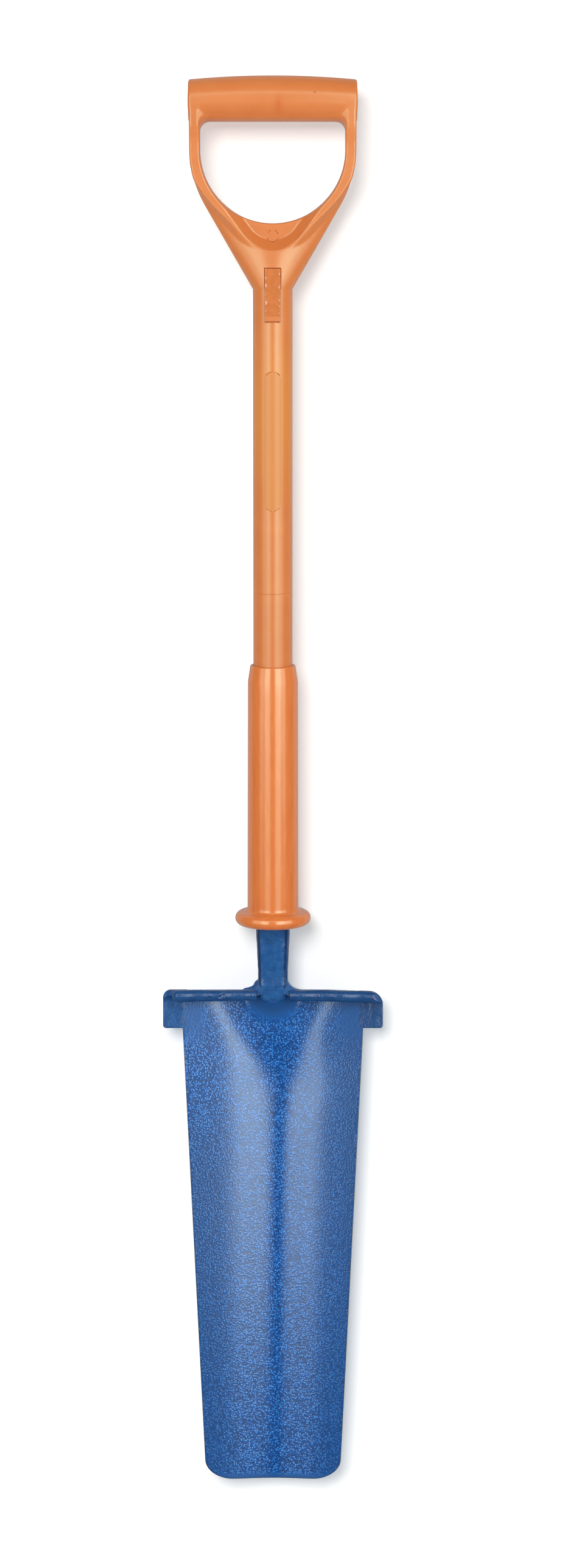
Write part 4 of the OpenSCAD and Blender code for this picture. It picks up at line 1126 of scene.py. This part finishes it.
# %% Sheet behind the tool
SHEET_GAP = 26.0
SHEET_BEND_LEVEL, SHEET_BEND = 430.0, 130.0
SHEET_HALF_WIDTH = 420.0
SHEET_LOW, SHEET_HIGH = -260.0, 1420.0
bend_levels = SHEET_BEND_LEVEL + SHEET_BEND * np.linspace(-1, 1, 25)
sheet_levels = np.concatenate([[SHEET_LOW], bend_levels, [SHEET_HIGH]])
bent_run = np.clip(sheet_levels - SHEET_BEND_LEVEL + SHEET_BEND, 0, 2 * SHEET_BEND)
leaning_run = np.maximum(sheet_levels - SHEET_BEND_LEVEL - SHEET_BEND, 0)
sheet_depth = SHEET_GAP - math.tan(LEAN) * (bent_run ** 2 / (4 * SHEET_BEND) + leaning_run)
sheet_mesh = bpy.data.meshes.new("white_sheet")
sheet_mesh.from_pydata(
    [(side * SHEET_HALF_WIDTH * MM, y * MM, z * MM)
     for y, z in zip(sheet_depth, sheet_levels) for side in (-1, 1)],
    [], [(2 * i, 2 * i + 1, 2 * i + 3, 2 * i + 2) for i in range(len(sheet_levels) - 1)])
sheet_mesh.polygons.foreach_set("use_smooth", np.ones(len(sheet_mesh.polygons), bool))
sheet = bpy.data.objects.new("white_sheet", sheet_mesh)
scene.collection.objects.link(sheet)
sheet.visible_glossy = False
print("sheet from", SHEET_LOW, "to", SHEET_HIGH, "mm")

# %% [markdown]
# The sheet's paper is plain matte white. A little glow lifts the lit paper to pure white and leaves
# the shadow as a soft grey. It also lights the sides of the tool a little, as lit paper does. The
# glow is slightly cool and the lamp on the sheet slightly warm, which balances the orange that the
# handle throws on the paper.

# %% White paper
PAPER_GLOW = 0.30
paper = bpy.data.materials.new("white_paper_sheet")
paper.use_nodes = True
tree = paper.node_tree
tree.nodes.clear()
rays = add_node(tree, "ShaderNodeLightPath")
seen = add_node(tree, "ShaderNodeMath", {
    0: rays.outputs["Is Camera Ray"], 1: rays.outputs["Is Transmission Ray"]}, operation="MAXIMUM")
lit_by = add_node(tree, "ShaderNodeMath", {
    0: seen.outputs[0], 1: rays.outputs["Is Diffuse Ray"]}, operation="MAXIMUM")
glow_level = add_node(tree, "ShaderNodeMath", {0: lit_by.outputs[0], 1: PAPER_GLOW}, operation="MULTIPLY")
matte = add_node(tree, "ShaderNodeBsdfDiffuse", {"Color": linear("#F4F4F4")})
glow = add_node(tree, "ShaderNodeEmission", {"Color": linear("#F0FBFF"), "Strength": glow_level.outputs[0]})
front = add_node(tree, "ShaderNodeAddShader", {0: matte.outputs[0], 1: glow.outputs[0]})
side_seen = add_node(tree, "ShaderNodeNewGeometry")
nothing = add_node(tree, "ShaderNodeBsdfTransparent")
one_sided = add_node(tree, "ShaderNodeMixShader", {
    0: side_seen.outputs["Backfacing"], 1: front.outputs[0], 2: nothing.outputs[0]})
add_node(tree, "ShaderNodeOutputMaterial", {"Surface": one_sided.outputs[0]})
sheet_mesh.materials.append(paper)
print("paper glows with", PAPER_GLOW)

# %% [markdown]
# The room as shiny surfaces mirror it is pale behind the tool and dim in front. That gives them pale
# rims at their edges and deep colour where they face the camera. Matte light comes from all around,
# more of it from the wall behind, and some more bounces off the floor. The camera itself sees plain
# white everywhere.

# %% Room
ROOM_FILL, WALL_FILL, FLOOR_BOUNCE = 0.40, 0.85, 0.36
ROOM_FRONT, ROOM_BEHIND = 0.09, 0.5
world = bpy.data.worlds.new("studio_room")
scene.world = world
world.use_nodes = True
tree = world.node_tree
tree.nodes.clear()
rays = add_node(tree, "ShaderNodeLightPath")
towards = add_node(tree, "ShaderNodeTexCoord")
parts = add_node(tree, "ShaderNodeSeparateXYZ", {0: towards.outputs["Generated"]})
behind, around, below = (
    add_node(tree, "ShaderNodeMapRange", {
        "Value": parts.outputs[axis], "From Min": start, "From Max": end, "To Min": low, "To Max": high})
    for axis, start, end, low, high in (("Y", 0.25, 0.42, ROOM_FRONT, ROOM_BEHIND),
                                        ("Y", -0.1, 0.6, ROOM_FILL, WALL_FILL),
                                        ("Z", -0.05, -0.6, 0.0, FLOOR_BOUNCE)))
shiny = add_node(tree, "ShaderNodeMath", {
    0: rays.outputs["Is Glossy Ray"], 1: rays.outputs["Is Transmission Ray"]}, operation="MAXIMUM")
soft = add_node(tree, "ShaderNodeMath", {0: around.outputs[0], 1: below.outputs[0]}, operation="ADD")
mirrored = add_node(tree, "ShaderNodeMix", {
    "Factor": shiny.outputs[0], "A": soft.outputs[0], "B": behind.outputs[0]}, data_type="FLOAT")
strength = add_node(tree, "ShaderNodeMath", {
    0: rays.outputs["Is Camera Ray"], 1: mirrored.outputs[0]}, operation="MAXIMUM")
room = add_node(tree, "ShaderNodeBackground", {"Strength": strength.outputs[0]})
add_node(tree, "ShaderNodeOutputWorld", {"Surface": room.outputs[0]})
print("room from", ROOM_FRONT, "to", ROOM_BEHIND, "in mirrors")

# %% [markdown]
# Two tall soft boxes light the tool, a weaker one beside each of them widens the light, and a small
# one above lights the upper faces. Two low boxes carry the bands of light on to the foot of the
# sleeve, and only the sleeve sees them. A separate lamp from the upper left lights only the sheet and
# casts the shadow on it, so that the shadow can be set without changing the light on the tool. Light
# linking says which lamp reaches what.

# %% Soft boxes
BOX_DISTANCE = 2.3
BOX_LEVEL, BOX_HEIGHT = 1.05, 2.3
LOW_LEVEL, LOW_HEIGHT = -0.35, 0.5
LEFT, RIGHT = (-25, 1.02), (24, 1.10)
LEFT_FILL, RIGHT_FILL = (-51, 0.90), (49, 0.90)
OVERHEAD = (0, 0.9)


def soft_box(name, place, height, level, radiance, pitch=0.0, distance=BOX_DISTANCE):
    bearing, width = place
    lamp = bpy.data.lights.new(name, "AREA")
    lamp.shape = "RECTANGLE"
    lamp.size, lamp.size_y = width, height
    lamp.energy = radiance * math.pi * width * height
    holder = bpy.data.objects.new(name, lamp)
    turn = math.radians(bearing)
    holder.location = (distance * math.sin(turn), -distance * math.cos(turn), level)
    holder.rotation_euler = (math.radians(90 - pitch), 0, turn)
    holder.visible_camera = False
    scene.collection.objects.link(holder)
    return holder


boxes = [soft_box("left_soft_box", LEFT, BOX_HEIGHT, BOX_LEVEL, 2.6),
         soft_box("left_fill_box", LEFT_FILL, BOX_HEIGHT, BOX_LEVEL, 1.2),
         soft_box("right_soft_box", RIGHT, BOX_HEIGHT, BOX_LEVEL, 3.25),
         soft_box("top_soft_box", OVERHEAD, 0.5, 2.05, 1.4, pitch=32.0),
         soft_box("right_fill_box", RIGHT_FILL, BOX_HEIGHT, BOX_LEVEL, 1.55)]
low_boxes = [soft_box("left_low_box", LEFT, LOW_HEIGHT, LOW_LEVEL, 0.9),
             soft_box("right_low_box", RIGHT, LOW_HEIGHT, LOW_LEVEL, 1.1)]
shadow_lamp = soft_box("shadow_lamp", (-10, 2.3), 2.3, 1.95, 14.8, pitch=12.0, distance=6.0)
shadow_lamp.data.color = linear("#FFFBF7")[:3]
shadow_lamp.visible_glossy = False

# %% Light linking
sheet_only, all_but_sheet, sleeve_only = (
    bpy.data.collections.new(name) for name in ("sheet_only", "all_but_sheet", "sleeve_only"))
for group, thing in ((sheet_only, sheet), (all_but_sheet, sheet), (sleeve_only, sleeve)):
    group.objects.link(thing)
all_but_sheet.collection_objects[0].light_linking.link_state = "EXCLUDE"
for lamps, group in (([shadow_lamp], sheet_only), (boxes, all_but_sheet), (low_boxes, sleeve_only)):
    for lamp in lamps:
        lamp.light_linking.receiver_collection = group
